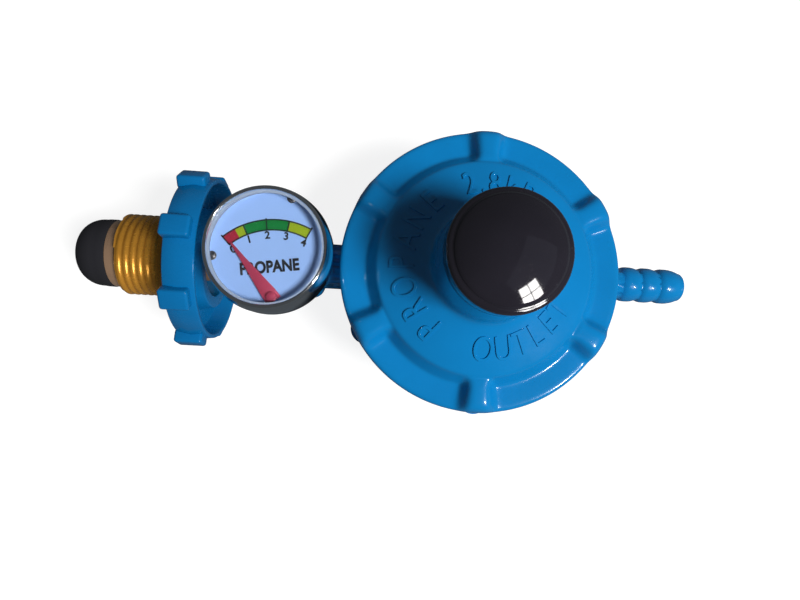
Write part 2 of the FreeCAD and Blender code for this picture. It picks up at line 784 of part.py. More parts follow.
def valve_plunger():
    """Slides along the inlet line in the guide, carries the rubber disc and is pushed by the lever."""
    body = new_body("valve_plunger")
    face = -S["nozzle_seat"] + S["valve_gap"]
    turned(body, "turned_plunger", [
        (face + 1.4, 0),
        (face + 1.4, 2.2),
        (face + 0.1, 2.2),
        (face + 0.1, S["plunger_radius"]),
        (-S["pivot_x"] + 2.6, S["plunger_radius"]),
        (-S["pivot_x"] + 2.6, 0),
    ], axis="H_Axis", shift=ON_AXIS)
    raised(body, "lever_slot", lambda s: outline(s, rectangle(-S["pivot_x"] - 1.1, -S["pivot_x"] + 1.1, -1.6, 1.6)),
           8.0, shift=(ZERO, ZERO, S["axis_height"] + 1.6), cut=True)
    return finished(body)


def lever():
    """Bell crank: the long arm rides in the stem's slot, the short arm pushes the plunger."""
    body = new_body("lever")
    x = -S["pivot_x"]
    z = S["pivot_height"]
    raised(body, "hub", lambda s: circle(s, x, z, 1.9), 7.6, role="XZ_Plane", both=True)
    raised(body, "short_arm", lambda s: outline(s, rectangle(x - 0.6, x + 0.6, z, S["axis_height"] + 1.2)), 2.4,
           role="XZ_Plane", both=True)

    def long_arm(sketch):
        outline(sketch, [(x, z - 2.0), (-6.0, z - 2.0), (-4.9, 11.9), (2.2, 11.9), (2.2, 13.1), (-5.9, 13.1),
                         (-6.9, z - 0.8), (x, z - 0.8)])

    raised(body, "long_arm", long_arm, 3.6, role="XZ_Plane", both=True)
    raised(body, "pin_hole", lambda s: circle(s, x, z, S["pin_radius"] + 0.05), 12.0, role="XZ_Plane", both=True,
           cut=True)
    return finished(body)


def lever_pin():
    body = new_body("lever_pin")
    raised(body, "pin", lambda s: circle(s, -S["pivot_x"], S["pivot_height"], S["pin_radius"]), 12.8,
           role="XZ_Plane", both=True)
    return finished(body)


# ---------------------------------------------------------------- inlet connector
def inlet_nipple():
    """Fixed brass tail: the sealing head in front, the plain journal for the nut, and the tail in the port."""
    body = new_body("inlet_nipple")
    turned(body, "turned_nipple", [
        (-S["nose_tip"] + 5.0, S["nose_bore"]),
        (-S["nose_tip"] + 5.0, 4.6),
        (-S["nose_back"], 6.0),
        (-S["nose_back"], S["head_radius"]),
        (-S["head_back"] - 0.6, S["head_radius"]),
        (-S["head_back"] + 0.4, S["head_radius"] - 1.2),
        (-S["nut_front"] - 0.1, S["nipple_radius"] + 0.6),
        (-S["nut_front"] - 0.1, S["nipple_radius"]),
        (-S["port_face"] - 5.0, S["nipple_radius"]),
        (-S["port_face"] - 5.0, S["nose_bore"]),
    ], axis="H_Axis", shift=ON_AXIS)
    hex_start = -S["port_face"] - 5.0

    def spanner_flats(sketch):
        outline(sketch, hexagon(14.0))
        circle(sketch, 0, 0, S["nose_bore"])

    raised(body, "spanner_hex", spanner_flats, 5.0, role="YZ_Plane", shift=(ZERO, S["axis_height"], hex_start))
    turned(body, "tail", [
        (-S["port_face"], S["nose_bore"]),
        (-S["port_face"], S["port_radius"]),
        (-S["port_face"] + S["port_depth"] - 2.0, S["port_radius"]),
        (-S["port_face"] + S["port_depth"] - 1.2, S["port_radius"] - 0.8),
        (-S["port_face"] + S["port_depth"] - 1.2, S["nose_bore"]),
    ], axis="H_Axis", shift=ON_AXIS)
    return finished(body)


def nose_seal():
    """Soft black bullet that seals in the cylinder valve's cone."""
    body = new_body("nose_seal")
    turned(body, "bullet", [
        (-S["nose_tip"], S["nose_bore"]),
        (-S["nose_tip"], S["nose_flat"], 9.0, 1),
        (-S["nose_back"] - 2.6, S["nose_radius"]),
        (-S["nose_back"], S["nose_radius"]),
        (-S["nose_back"], 6.0),
        (-S["nose_tip"] + 5.0, 4.6),
        (-S["nose_tip"] + 5.0, S["nose_bore"]),
    ], axis="H_Axis", shift=ON_AXIS)
    return finished(body)


WHEEL_PHASE = -11.0     # degrees about X that bring the wheel's lobes and the hexagon to their resting place


def union_nut():
    """Brass gland with the left-hand cylinder thread in front and a hexagon that holds the hand wheel."""
    body = new_body("union_nut")
    turned(body, "turned_nut", [
        (-S["nut_front"], S["nut_bore"]),
        (-S["nut_front"], S["nut_nose_radius"]),
        (-S["thread_front"], S["thread_radius"]),
        (-S["thread_back"], S["thread_radius"]),
        (-S["thread_back"], S["shank_radius"]),
        (-S["wheel_front"], S["shank_radius"]),
        (-S["wheel_front"], S["nut_bore"]),
    ], axis="H_Axis", shift=ON_AXIS)

    def section(sketch):
        outline(sketch, hexagon(S["hex_flats"].value, WHEEL_PHASE))
        circle(sketch, 0, 0, S["nut_bore"])

    raised(body, "hexagon", section, S["wheel_front"] - S["hex_back"], role="YZ_Plane",
           shift=(ZERO, S["axis_height"], -S["wheel_front"]))
    return finished(body)


def hand_wheel():
    """Cup-shaped wheel with grip lobes, pressed on the nut's hexagon."""
    body = new_body("hand_wheel")
    middle = -(S["wheel_front"] + S["wheel_back"]) / 2
    turned(body, "rim", [
        (-S["wheel_front"], 0),
        (-S["wheel_front"], S["wheel_radius"] - 0.7, 0.7, 1),
        (-S["wheel_front"] + 0.7, S["wheel_radius"]),
        (middle, S["wheel_parting"]),
        (-S["wheel_back"] - 0.7, S["wheel_radius"], 0.7, 1),
        (-S["wheel_back"], S["wheel_radius"] - 0.7),
        (-S["wheel_back"], S["wheel_inner"]),
        (-S["wheel_front"] + S["wheel_web"], S["wheel_inner"] - 0.6),
        (-S["wheel_front"] + S["wheel_web"], S["wheel_hub"]),
        (-S["hex_back"], S["wheel_hub"] - 0.4),
        (-S["hex_back"], 0),
    ], axis="H_Axis", shift=(ZERO, ZERO, ZERO))
    half = S["lobe_width"] / 2

    def lobe_section(sketch):
        low = S["wheel_inner"] + 0.8
        high = S["lobe_radius"]
        outline(sketch, [(-half, low), (half, low), (half - 0.2, high - 0.8, 0.8, -1), (half - 1.0, high),
                         (1.0 - half, high, 0.8, -1), (0.2 - half, high - 0.8)])

    raised(body, "lobe", lobe_section, S["wheel_front"] + 0.5 - (S["wheel_back"] + 1.5), role="YZ_Plane",
           shift=(ZERO, ZERO, -S["wheel_front"] - 0.5))
    repeated(body, "lobes", [body.Tip], int(S["lobe_count"].value), "X_Axis")
    raised(body, "hexagon_hole", lambda s: outline(s, hexagon(S["hex_flats"].value)), 20.0, role="YZ_Plane",
           shift=(ZERO, ZERO, -S["wheel_front"] - 2.0), cut=True, backwards=True)
    body.Placement.Rotation = FreeCAD.Rotation(Vector(1, 0, 0), WHEEL_PHASE)
    place(body, z=S["axis_height"])
    return finished(body)




# ---------------------------------------------------------------- gauge
def gauge_body(label):
    """A body whose own Z axis is the gauge's axis, turned by the dial's yaw."""
    return place(new_body(label), x=S["gauge_x"], yaw=S["gauge_yaw"])


def gauge_stem():
    """Brass socket: the thread in the boss, spanner flats, and the block that feeds the Bourdon tube."""
    body = gauge_body("gauge_stem")
    turned(body, "thread", [
        (0.8, S["boss_top"] - 6.2),
        (S["gauge_thread"] - 0.6, S["boss_top"] - 6.2),
        (S["gauge_thread"], S["boss_top"] - 5.6),
        (S["gauge_thread"], S["washer_top"]),
        (0.8, S["washer_top"]),
    ])

    def flats(sketch):
        outline(sketch, hexagon(12.0))
        circle(sketch, 0, 0, 0.8)

    raised(body, "spanner_hex", flats, S["case_bottom"] - S["washer_top"], shift=(ZERO, ZERO, S["washer_top"]))
    turned(body, "neck", [(0.8, S["case_bottom"]), (4.0, S["case_bottom"]), (4.0, S["case_bottom"] + 1.0),
                          (0.8, S["case_bottom"] + 1.0)])
    raised(body, "block", lambda s: outline(s, rectangle(-4.5, 4.5, -4.0, 3.0)), 4.4,
           shift=(ZERO, ZERO, S["case_bottom"] + 1.0))
    return finished(body)


def gauge_washer():
    body = gauge_body("gauge_washer")
    turned(body, "ring", [(S["gauge_thread"], S["boss_top"]), (7.2, S["boss_top"]), (7.2, S["washer_top"]),
                          (S["gauge_thread"], S["washer_top"])])
    return finished(body)


def gauge_case():
    body = gauge_body("gauge_case")
    inner = S["case_radius"] - S["case_wall"]
    turned(body, "cup", [
        (4.0, S["case_bottom"]),
        (S["case_radius"] - 2.0, S["case_bottom"], 2.0, -1),
        (S["case_radius"], S["case_bottom"] + 2.0),
        (S["case_radius"], S["case_top"]),
        (inner, S["case_top"]),
        (inner, S["case_bottom"] + 2.0, 1.2, 1),
        (inner - 1.2, S["case_bottom"] + 1.0),
        (4.0, S["case_bottom"] + 1.0),
    ])
    return finished(body)


def gauge_bezel():
    """Steel ring rolled over the lens."""
    body = gauge_body("gauge_bezel")
    turned(body, "ring", [
        (S["case_radius"], S["bezel_skirt"]),
        (S["bezel_radius"], S["bezel_skirt"]),
        (S["bezel_radius"], S["bezel_top"] - 4.9),
        (S["bezel_radius"] - 0.5, S["bezel_top"] - 0.9, 1.0, -1),
        (S["bezel_radius"] - 1.1, S["bezel_top"] - 0.1),
        (S["window_radius"] + 0.2, S["bezel_top"] - 0.1),
        (S["window_radius"], S["bezel_top"] - 0.6),
        (S["window_radius"], S["case_top"] + 1.6),
        (S["case_radius"], S["case_top"] + 1.6),
    ])
    return finished(body)


def lens_seal():
    body = gauge_body("lens_seal")
    inner = S["case_radius"] - S["case_wall"]
    turned(body, "ring", [(inner - 0.9, S["case_top"]), (S["case_radius"], S["case_top"]),
                          (S["case_radius"], S["case_top"] + 0.5), (inner - 0.9, S["case_top"] + 0.5)])
    return finished(body)


def gauge_lens():
    """Clear domed window held between the seal and the bezel's lip."""
    body = gauge_body("gauge_lens")
    low = S["case_top"] + 0.5
    rise = S["lens_apex"] - S["case_top"] - 1.9
    turned(body, "dome", [
        (0, low + rise),
        (APEX_FLAT, low + rise, dome_radius(S["window_radius"] - 1.2, rise), 1),
        (S["window_radius"] - 1.2, low),
        (S["case_radius"], low),
        (S["case_radius"], S["case_top"] + 1.6),
        (S["window_radius"], S["case_top"] + 1.6),
        (S["window_radius"] - 0.1, S["case_top"] + 1.9, dome_radius(S["window_radius"] - 0.1, rise), -1),
        (APEX_FLAT, S["lens_apex"]),
        (0, S["lens_apex"]),
    ])
    return finished(body)


def gauge_dial():
    """Printed plate with two locating notches in its edge and a hole for the pointer's shaft."""
    body = gauge_body("gauge_dial")
    raised(body, "plate", lambda s: circle(s, 0, 0, S["dial_radius"]), S["dial_thick"],
           shift=(ZERO, ZERO, S["dial_height"]))
    for name, degrees in (("left_notch", 181.5), ("upper_notch", 62.5)):
        turn = math.radians(degrees)
        place_x = S["dial_radius"] * math.cos(turn)
        place_y = S["dial_radius"] * math.sin(turn)
        raised(body, name, lambda s: circle(s, place_x, place_y, 1.1), 2.0,
               shift=(ZERO, ZERO, S["dial_height"] + 1.0), cut=True)
    raised(body, "shaft_hole", lambda s: circle(s, 0, -S["pivot_offset"], 0.9), 2.0,
           shift=(ZERO, ZERO, S["dial_height"] + 1.0), cut=True)
    return finished(body)


def gauge_bridge():
    """Bent brass strip on the socket block that carries the dial and the pointer's bearing."""
    body = gauge_body("gauge_bridge")
    low = S["case_bottom"] + 5.4
    raised(body, "foot", lambda s: outline(s, rectangle(-3.4, 3.4, -S["pivot_offset"] - 1.6, 2.6)), 0.9,
           shift=(ZERO, ZERO, low))
    raised(body, "pillars", lambda s: outline(s, rectangle(-3.4, 3.4, 0.8, 2.6)), S["dial_height"] - low,
           shift=(ZERO, ZERO, low))
    raised(body, "bearing", lambda s: circle(s, 0, -S["pivot_offset"], 0.62), 2.0,
           shift=(ZERO, ZERO, low + 1.5), cut=True)
    return finished(body)


def bourdon_tube():
    """Curved tube that straightens with pressure and drives the pointer."""
    tube = doc.addObject("Part::Torus", "bourdon_tube")
    tube.Label = "bourdon_tube"
    tube.Radius1 = 10.6
    tube.Radius2 = 1.2
    tube.Angle3 = 250
    place(tube, x=S["gauge_x"], z=S["case_bottom"] + 3.6, yaw=S["gauge_yaw"] + 180.0)
    return finished(tube)


def tube_feed():
    """Short pipe from the socket block to the start of the Bourdon tube."""
    pipe = doc.addObject("Part::Cylinder", "tube_feed")
    pipe.Label = "tube_feed"
    pipe.Radius = 1.0
    pipe.Height = 4.86
    direction = math.radians(S["gauge_yaw"].value + 180.0)
    pipe.Placement = FreeCAD.Placement(
        Vector(S["gauge_x"].value + 4.5 * math.cos(direction), 4.5 * math.sin(direction),
               S["case_bottom"].value + 3.6),
        FreeCAD.Rotation(Vector(0, 0, 1), Vector(math.cos(direction), math.sin(direction), 0)))
    return finished(pipe)


def pointer_body(label):
    """A body whose own Z axis is the pointer's pivot, turned so that +Y runs to the scale's middle."""
    body = new_body(label)
    turn = math.radians(S["gauge_yaw"].value)
    body.Placement = FreeCAD.Placement(
        Vector(S["gauge_x"].value + S["pivot_offset"].value * math.sin(turn),
               -S["pivot_offset"].value * math.cos(turn), 0),
        FreeCAD.Rotation(Vector(0, 0, 1), S["gauge_yaw"].value + POINTER_AT_REST))
    return body


POINTER_AT_REST = 31.8      # degrees from the scale's middle to where the pointer rests, just over its zero


def gauge_pointer():
    body = pointer_body("gauge_pointer")

    def blade(sketch):
        outline(sketch, [(-1.9, -1.2), (1.9, -1.2), (1.7, 3.4), (0.25, S["pointer_length"]),
                         (-0.25, S["pointer_length"]), (-1.7, 3.4)])

    raised(body, "blade", blade, 0.35, shift=(ZERO, ZERO, S["pointer_height"]))
    turned(body, "boss", [(0, S["pointer_height"]), (1.3, S["pointer_height"]),
                          (1.1, S["pointer_height"] + 0.9), (0, S["pointer_height"] + 0.9)])
    return finished(body)


def pointer_shaft():
    body = pointer_body("pointer_shaft")
    low = S["case_bottom"] + 5.4
    turned(body, "shaft", [(0, low - 0.52), (1.4, low - 0.52), (1.4, low - 0.1), (0.58, low - 0.1),
                           (0.58, S["pointer_height"]), (0, S["pointer_height"])])
    return finished(body)


# ---------------------------------------------------------------- build, check, write
def build():
    lower_housing()
    bonnet()
    adjuster_cap()
    flange_screws()
    diaphragm()
    diaphragm_plate()
    clamp_washer()
    diaphragm_stem()
    stem_nut()
    main_spring()
    spring_seat()
    adjusting_screw()
    inlet_nozzle()
    inlet_filter()
    valve_disc()
    valve_plunger()
    lever()
    lever_pin()
    inlet_nipple()
    nose_seal()
    union_nut()
    hand_wheel()
    gauge_stem()
    gauge_washer()
    gauge_case()
    gauge_bezel()
    lens_seal()
    gauge_lens()
    gauge_dial()
    gauge_bridge()
    bourdon_tube()
    tube_feed()
    gauge_pointer()
    pointer_shaft()


def check():
    """Stops if any object failed to compute or any sub-part's shape is unusable."""
    doc.recompute()
    for item in doc.Objects:
        if {"Invalid", "Error"} & set(item.State):
            raise RuntimeError(f"{item.Label} did not compute: {item.State}")
    for item in PARTS:
        if item.Shape.isNull() or not item.Shape.isValid() or not item.Shape.Solids:
            raise RuntimeError(f"{item.Label} has no usable shape")
        print(f"{item.Label}: {item.Shape.Volume:.1f} mm3, {len(item.Shape.Solids)} solid(s)")


def write():
    os.makedirs("parts", exist_ok=True)
    for item in PARTS:
        item.Shape.exportStep(f"parts/{item.Label}.step")


build()
check()
write()
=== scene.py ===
"""Looks of a low-pressure LP-gas regulator: castings, cap, gauge, hand wheel and threaded inlet.

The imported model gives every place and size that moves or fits. The visible castings and mouldings are modelled
here in finer detail than their solids, each rides on the body of the solid it stands for, and every surface gets
a procedural finish.
"""

import json
import logging
import math
from dataclasses import dataclass
from enum import Enum
from typing import Callable, Optional, Sequence

import bmesh
import bpy
from mathutils import Matrix, Vector

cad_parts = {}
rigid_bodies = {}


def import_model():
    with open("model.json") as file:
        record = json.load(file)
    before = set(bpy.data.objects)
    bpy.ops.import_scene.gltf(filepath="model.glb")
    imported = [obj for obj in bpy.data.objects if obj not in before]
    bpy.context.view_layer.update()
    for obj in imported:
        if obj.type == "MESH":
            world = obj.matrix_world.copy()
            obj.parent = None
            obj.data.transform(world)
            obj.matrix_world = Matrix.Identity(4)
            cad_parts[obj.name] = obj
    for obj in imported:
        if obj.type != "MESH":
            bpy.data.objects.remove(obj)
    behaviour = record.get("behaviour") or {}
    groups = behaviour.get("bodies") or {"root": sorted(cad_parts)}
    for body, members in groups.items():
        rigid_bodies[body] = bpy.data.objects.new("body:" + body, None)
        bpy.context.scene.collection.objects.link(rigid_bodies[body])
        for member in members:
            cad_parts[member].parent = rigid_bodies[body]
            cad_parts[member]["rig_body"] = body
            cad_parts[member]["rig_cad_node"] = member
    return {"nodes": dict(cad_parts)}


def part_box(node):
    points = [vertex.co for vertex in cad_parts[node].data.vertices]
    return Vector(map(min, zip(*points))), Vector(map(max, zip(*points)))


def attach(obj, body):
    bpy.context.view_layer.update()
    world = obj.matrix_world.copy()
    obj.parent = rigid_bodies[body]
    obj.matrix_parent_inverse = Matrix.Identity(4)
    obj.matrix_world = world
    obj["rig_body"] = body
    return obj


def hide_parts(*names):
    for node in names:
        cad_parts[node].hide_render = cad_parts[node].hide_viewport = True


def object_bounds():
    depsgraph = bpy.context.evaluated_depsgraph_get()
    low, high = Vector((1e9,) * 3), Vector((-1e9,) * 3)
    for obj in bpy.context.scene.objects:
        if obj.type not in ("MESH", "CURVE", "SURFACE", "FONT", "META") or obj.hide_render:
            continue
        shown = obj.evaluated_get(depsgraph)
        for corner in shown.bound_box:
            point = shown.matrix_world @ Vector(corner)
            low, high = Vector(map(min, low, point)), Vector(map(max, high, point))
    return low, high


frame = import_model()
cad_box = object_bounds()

LOG = logging.getLogger("regulator")
MM = 0.001
FULL_TURN = 2 * math.pi
WELD = 2e-6     # vertices closer than this become one, in metres
Point = tuple[float, float, float]
Profile = Sequence[tuple[float, float]]


class Axis(Enum):
    """The axis that a turned piece is turned about."""

    INLET = (1.0, 0.0, 0.0)
    UPRIGHT = (0.0, 0.0, 1.0)


# ---------------------------------------------------------------- modelling
class Bench:
    """The modelling moves that the pieces are made with."""

    @staticmethod
    def clear() -> None:
        """Leaves edit mode and deselects everything."""
        if bpy.context.object is not None and bpy.context.object.mode != "OBJECT":
            bpy.ops.object.mode_set(mode="OBJECT")
        bpy.ops.object.select_all(action="DESELECT")

    @staticmethod
    def take(piece: bpy.types.Object) -> None:
        """Makes a piece the only selected and active object.

        Args:
            piece: The object to work on next.
        """
        Bench.clear()
        piece.select_set(True)
        bpy.context.view_layer.objects.active = piece

    @staticmethod
    def name(piece: bpy.types.Object, name: str) -> bpy.types.Object:
        """Names an object and its mesh."""
        piece.name = name
        piece.data.name = name
        return piece

    @staticmethod
    def settle(piece: bpy.types.Object) -> None:
        """Applies an object's place, turn and size to its mesh, so that it sits at the origin."""
        Bench.take(piece)
        bpy.ops.object.transform_apply(location=True, rotation=True, scale=True)

    @staticmethod
    def draw(name: str, points: Sequence[Point], closed: bool = False, filled: bool = False) -> bpy.types.Object:
        """Draws a chain of edges by extruding one vertex after the next.

        Args:
            name: The new object's name.
            points: Where the vertices go, in millimetres.
            closed: Whether the last vertex joins the first.
            filled: Whether the closed chain gets a face.

        Returns:
            The new object, at the origin.
        """
        Bench.clear()
        places = [Vector(p) * MM for p in points]
        bpy.ops.mesh.primitive_plane_add(size=MM, location=places[0])
        piece = Bench.name(bpy.context.object, name)
        bpy.ops.object.mode_set(mode="EDIT")
        bpy.ops.mesh.select_mode(type="VERT")
        bpy.ops.mesh.select_all(action="SELECT")
        bpy.ops.mesh.merge(type="CENTER")
        for before, after in zip(places, places[1:]):
            bpy.ops.mesh.extrude_region_move(TRANSFORM_OT_translate={"value": after - before})
        if closed or filled:
            mesh = bmesh.from_edit_mesh(piece.data)
            mesh.verts.ensure_lookup_table()
            for vert in mesh.verts:
                vert.select = vert.index in (0, len(places) - 1)
            mesh.select_flush_mode()
            bmesh.update_edit_mesh(piece.data)
            bpy.ops.mesh.edge_face_add()
        if filled:
            bpy.ops.mesh.select_all(action="SELECT")
            bpy.ops.mesh.edge_face_add()
        bpy.ops.object.mode_set(mode="OBJECT")
        Bench.settle(piece)
        return piece

    @staticmethod
    def edit(piece: bpy.types.Object) -> None:
        """Enters edit mode with everything selected."""
        Bench.take(piece)
        bpy.ops.object.mode_set(mode="EDIT")
        bpy.ops.mesh.select_all(action="SELECT")

    @staticmethod
    def spin(piece: bpy.types.Object, steps: int, axis: Axis, centre: Point, turn: float = FULL_TURN) -> None:
        """Spins a drawn chain about an axis.

        Args:
            piece: The object whose edges are spun.
            steps: How many steps the turn has.
            axis: The axis of the turn.
            centre: A point on the axis, in millimetres.
            turn: The angle, in radians.
        """
        Bench.edit(piece)
        bpy.ops.mesh.spin(steps=steps, angle=turn, center=Vector(centre) * MM, axis=axis.value)
        Bench.clean_in_edit()

    @staticmethod
    def clean_in_edit() -> None:
        """Merges doubles, points faces outwards and leaves edit mode."""
        bpy.ops.mesh.select_all(action="SELECT")
        bpy.ops.mesh.remove_doubles(threshold=WELD)
        bpy.ops.mesh.normals_make_consistent(inside=False)
        bpy.ops.object.mode_set(mode="OBJECT")

    @staticmethod
    def lathe(name: str, profile: Profile, axis: Axis, centre: Point, steps: int = 96,
              ring: bool = False) -> bpy.types.Object:
        """Turns a profile into a solid of revolution.

        Args:
            name: The new object's name.
            profile: (distance along the axis from the centre, radius) in millimetres.
            axis: The axis it is turned about.
            centre: A point on the axis, in millimetres.
            steps: How many facets go round.
            ring: Whether the profile is a closed loop that stays off the axis.

        Returns:
            The turned piece.
        """
        cx, cy, cz = centre
        if axis is Axis.UPRIGHT:
            points = [(cx + radius, cy, cz + along) for along, radius in profile]
        else:
            points = [(cx + along, cy, cz + radius) for along, radius in profile]
        piece = Bench.draw(name, points, closed=ring)
        Bench.spin(piece, steps, axis, centre)
        return piece

    @staticmethod
    def choose(piece: bpy.types.Object, test: Callable[[Vector], bool]) -> int:
        """Enters edit mode and selects the vertices that pass a test.

        Args:
            piece: The object to select in.
            test: Tells from a vertex's place, in millimetres, whether to select it.

        Returns:
            How many were selected.
        """
        Bench.take(piece)
        bpy.ops.object.mode_set(mode="EDIT")
        bpy.ops.mesh.select_mode(type="VERT")
        bpy.ops.mesh.select_all(action="DESELECT")
        mesh = bmesh.from_edit_mesh(piece.data)
        chosen = [vert for vert in mesh.verts if test(vert.co / MM)]
        for vert in chosen:
            vert.select_set(True)
        mesh.select_flush_mode()
        bmesh.update_edit_mesh(piece.data)
        return len(chosen)

    @staticmethod
    def modify(piece: bpy.types.Object, kind: str, **settings: object) -> None:
        """Adds a modifier with its settings and applies it."""
        Bench.take(piece)
        modifier = piece.modifiers.new(kind.title(), kind)
        for name, value in settings.items():
            setattr(modifier, name, value)
        bpy.ops.object.modifier_apply(modifier=modifier.name)

    @staticmethod
    def soften(piece: bpy.types.Object, width: float, segments: int = 2, angle: float = 35.0) -> None:
        """Rounds the sharp edges of a piece by a width in millimetres."""
        Bench.modify(piece, "BEVEL", width=width * MM, segments=segments, limit_method="ANGLE",
                     angle_limit=math.radians(angle), use_clamp_overlap=True)

    @staticmethod
    def smooth(piece: bpy.types.Object, angle: float = 40.0) -> None:
        """Shades a piece smooth, except over edges sharper than an angle in degrees."""
        Bench.take(piece)
        bpy.ops.object.shade_smooth_by_angle(angle=math.radians(angle))

    @staticmethod
    def combine(piece: bpy.types.Object, other: bpy.types.Object, how: str) -> None:
        """Joins, cuts or intersects a piece with another, which is used up."""
        Bench.modify(piece, "BOOLEAN", operation=how, object=other, solver="EXACT")
        bpy.data.objects.remove(other)

    @staticmethod
    def join(name: str, pieces: Sequence[bpy.types.Object]) -> bpy.types.Object:
        """Joins meshes into one object with that name."""
        Bench.take(pieces[0])
        for piece in pieces[1:]:
            piece.select_set(True)
        bpy.ops.object.join()
        return Bench.name(bpy.context.object, name)

    @staticmethod
    def merged_copy(name: str, node: str, angle: float = 32.0) -> bpy.types.Object:
        """A copy of a CAD node with its loose triangles merged, so that its curves can be shaded smooth."""
        source = frame["nodes"][node]
        piece = source.copy()
        piece.data = source.data.copy()
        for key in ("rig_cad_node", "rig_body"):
            if key in piece:
                del piece[key]
        piece.parent = None
        piece.matrix_world = Matrix.Identity(4)
        bpy.context.scene.collection.objects.link(piece)
        Bench.name(piece, name)
        Bench.edit(piece)
        bpy.ops.mesh.remove_doubles(threshold=WELD)
        bpy.ops.object.mode_set(mode="OBJECT")
        Bench.smooth(piece, angle)
        return piece

    @staticmethod
    def glyph(text: str, height: float, thick: float, place: Matrix, slim: float = 0.0,
              width: float = 1.0) -> bpy.types.Object:
        """One raised letter or word as a mesh.

        Args:
            text: What it says.
            height: The height of a capital, in millimetres.
            thick: How far it stands out on each side of its plane, in millimetres.
            place: Where its middle goes, with X along the reading direction and Y up the letter.
            slim: How much the strokes are thinned, in millimetres.
            width: How much the letter is stretched across.

        Returns:
            The letter, at the origin.
        """
        Bench.clear()
        bpy.ops.object.text_add()
        letter = bpy.context.object
        letter.data.body = text
        letter.data.align_x = "CENTER"
        letter.data.align_y = "CENTER"
        letter.data.size = height * MM / 0.7
        letter.data.extrude = thick * MM
        letter.data.bevel_depth = min(0.12, thick * 0.4) * MM
        letter.data.bevel_resolution = 1
        letter.data.offset = -slim * MM
        letter.data.resolution_u = 6
        bpy.ops.object.convert(target="MESH")
        letter = bpy.context.object
        letter.matrix_world = place @ Matrix.Diagonal((width, 1.0, 1.0, 1.0))
        Bench.settle(letter)
        return letter


def arc_points(start: tuple[float, float], end: tuple[float, float], bulge: float,
               count: int = 8) -> list[tuple[float, float]]:
    """Points along an arc from start to end, both included.

    Args:
        start: The first point.
        end: The last point.
        bulge: How far the arc's middle stands to the left of the straight line, in the points' units.
        count: How many spans the arc has.

    Returns:
        The points in order.
    """
    x0, y0 = start
    x1, y1 = end
    chord = math.hypot(x1 - x0, y1 - y0)
    if abs(bulge) < 1e-6:
        return [start, end]
    radius = (chord * chord / 4 + bulge * bulge) / (2 * abs(bulge))
    side = math.copysign(1.0, bulge)
    middle = ((x0 + x1) / 2, (y0 + y1) / 2)
    across = (-(y1 - y0) / chord, (x1 - x0) / chord)
    depth = radius - abs(bulge)
    cx = middle[0] - across[0] * depth * side
    cy = middle[1] - across[1] * depth * side
    first = math.atan2(y0 - cy, x0 - cx)
    last = math.atan2(y1 - cy, x1 - cx)
    sweep = (last - first + math.pi) % FULL_TURN - math.pi
    return [(cx + radius * math.cos(first + sweep * i / count), cy + radius * math.sin(first + sweep * i / count))
            for i in range(count + 1)]


# ---------------------------------------------------------------- finishes
class Weaver:
    """Lays out the nodes of one material or node group."""

    def __init__(self, tree: bpy.types.NodeTree) -> None:
        """Starts on an empty tree."""
        self.tree = tree
        self.column = 0

    def node(self, kind: str, inputs: Optional[dict[str | int, object]] = None, **settings: object) -> bpy.types.Node:
        """Adds a node, sets it up and wires its inputs.

        Args:
            kind: The node's type name.
            inputs: Input names or numbers with either a value or an output socket to link.
            settings: Properties of the node.

        Returns:
            The node.
        """
        made = self.tree.nodes.new(kind)
        made.location = (self.column * 190, -40 * (self.column % 5))
        self.column += 1
        for name, value in settings.items():
            setattr(made, name, value)
        for name, value in (inputs or {}).items():
            self.plug(made.inputs[name], value)
        return made

    def plug(self, socket: bpy.types.NodeSocket, value: object) -> None:
        """Links an output to an input socket, or sets the socket's own value."""
        if isinstance(value, bpy.types.NodeSocket):
            self.tree.links.new(value, socket)
        else:
            socket.default_value = value

    def maths(self, operation: str, first: object, second: object = 0.0) -> bpy.types.NodeSocket:
        """A Math node's result."""
        made = self.node("ShaderNodeMath", operation=operation)
        for socket, value in zip(made.inputs, (first, second)):
            self.plug(socket, value)
        return made.outputs[0]

    def blend(self, share: object, first: object, second: object) -> bpy.types.NodeSocket:
        """A colour mix's result."""
        made = self.node("ShaderNodeMix", {0: share, 6: first, 7: second}, data_type="RGBA", blend_type="MIX")
        return made.outputs[2]

    def spread(self, value: bpy.types.NodeSocket, low: float, high: float, to_low: float,
               to_high: float) -> bpy.types.NodeSocket:
        """A value mapped from one range to another and clamped."""
        return self.node("ShaderNodeMapRange", {"Value": value, "From Min": low, "From Max": high, "To Min": to_low,
                                                "To Max": to_high}).outputs[0]


def bare_material(name: str) -> tuple[bpy.types.Material, Weaver]:
    """A new material with an empty tree, and the weaver that fills it."""
    made = bpy.data.materials.new(name)
    made.use_nodes = True
    made.node_tree.nodes.clear()
    return made, Weaver(made.node_tree)


def group_sockets(tree: bpy.types.NodeTree, inputs: dict[str, tuple[str, object]], outputs: dict[str, str]) -> None:
    """Declares a node group's sockets.

    Args:
        tree: The group.
        inputs: Input names with their socket type and default.
        outputs: Output names with their socket type.
    """
    for name, (kind, default) in inputs.items():
        socket = tree.interface.new_socket(name, in_out="INPUT", socket_type=kind)
        socket.default_value = default
    for name, kind in outputs.items():
        tree.interface.new_socket(name, in_out="OUTPUT", socket_type=kind)


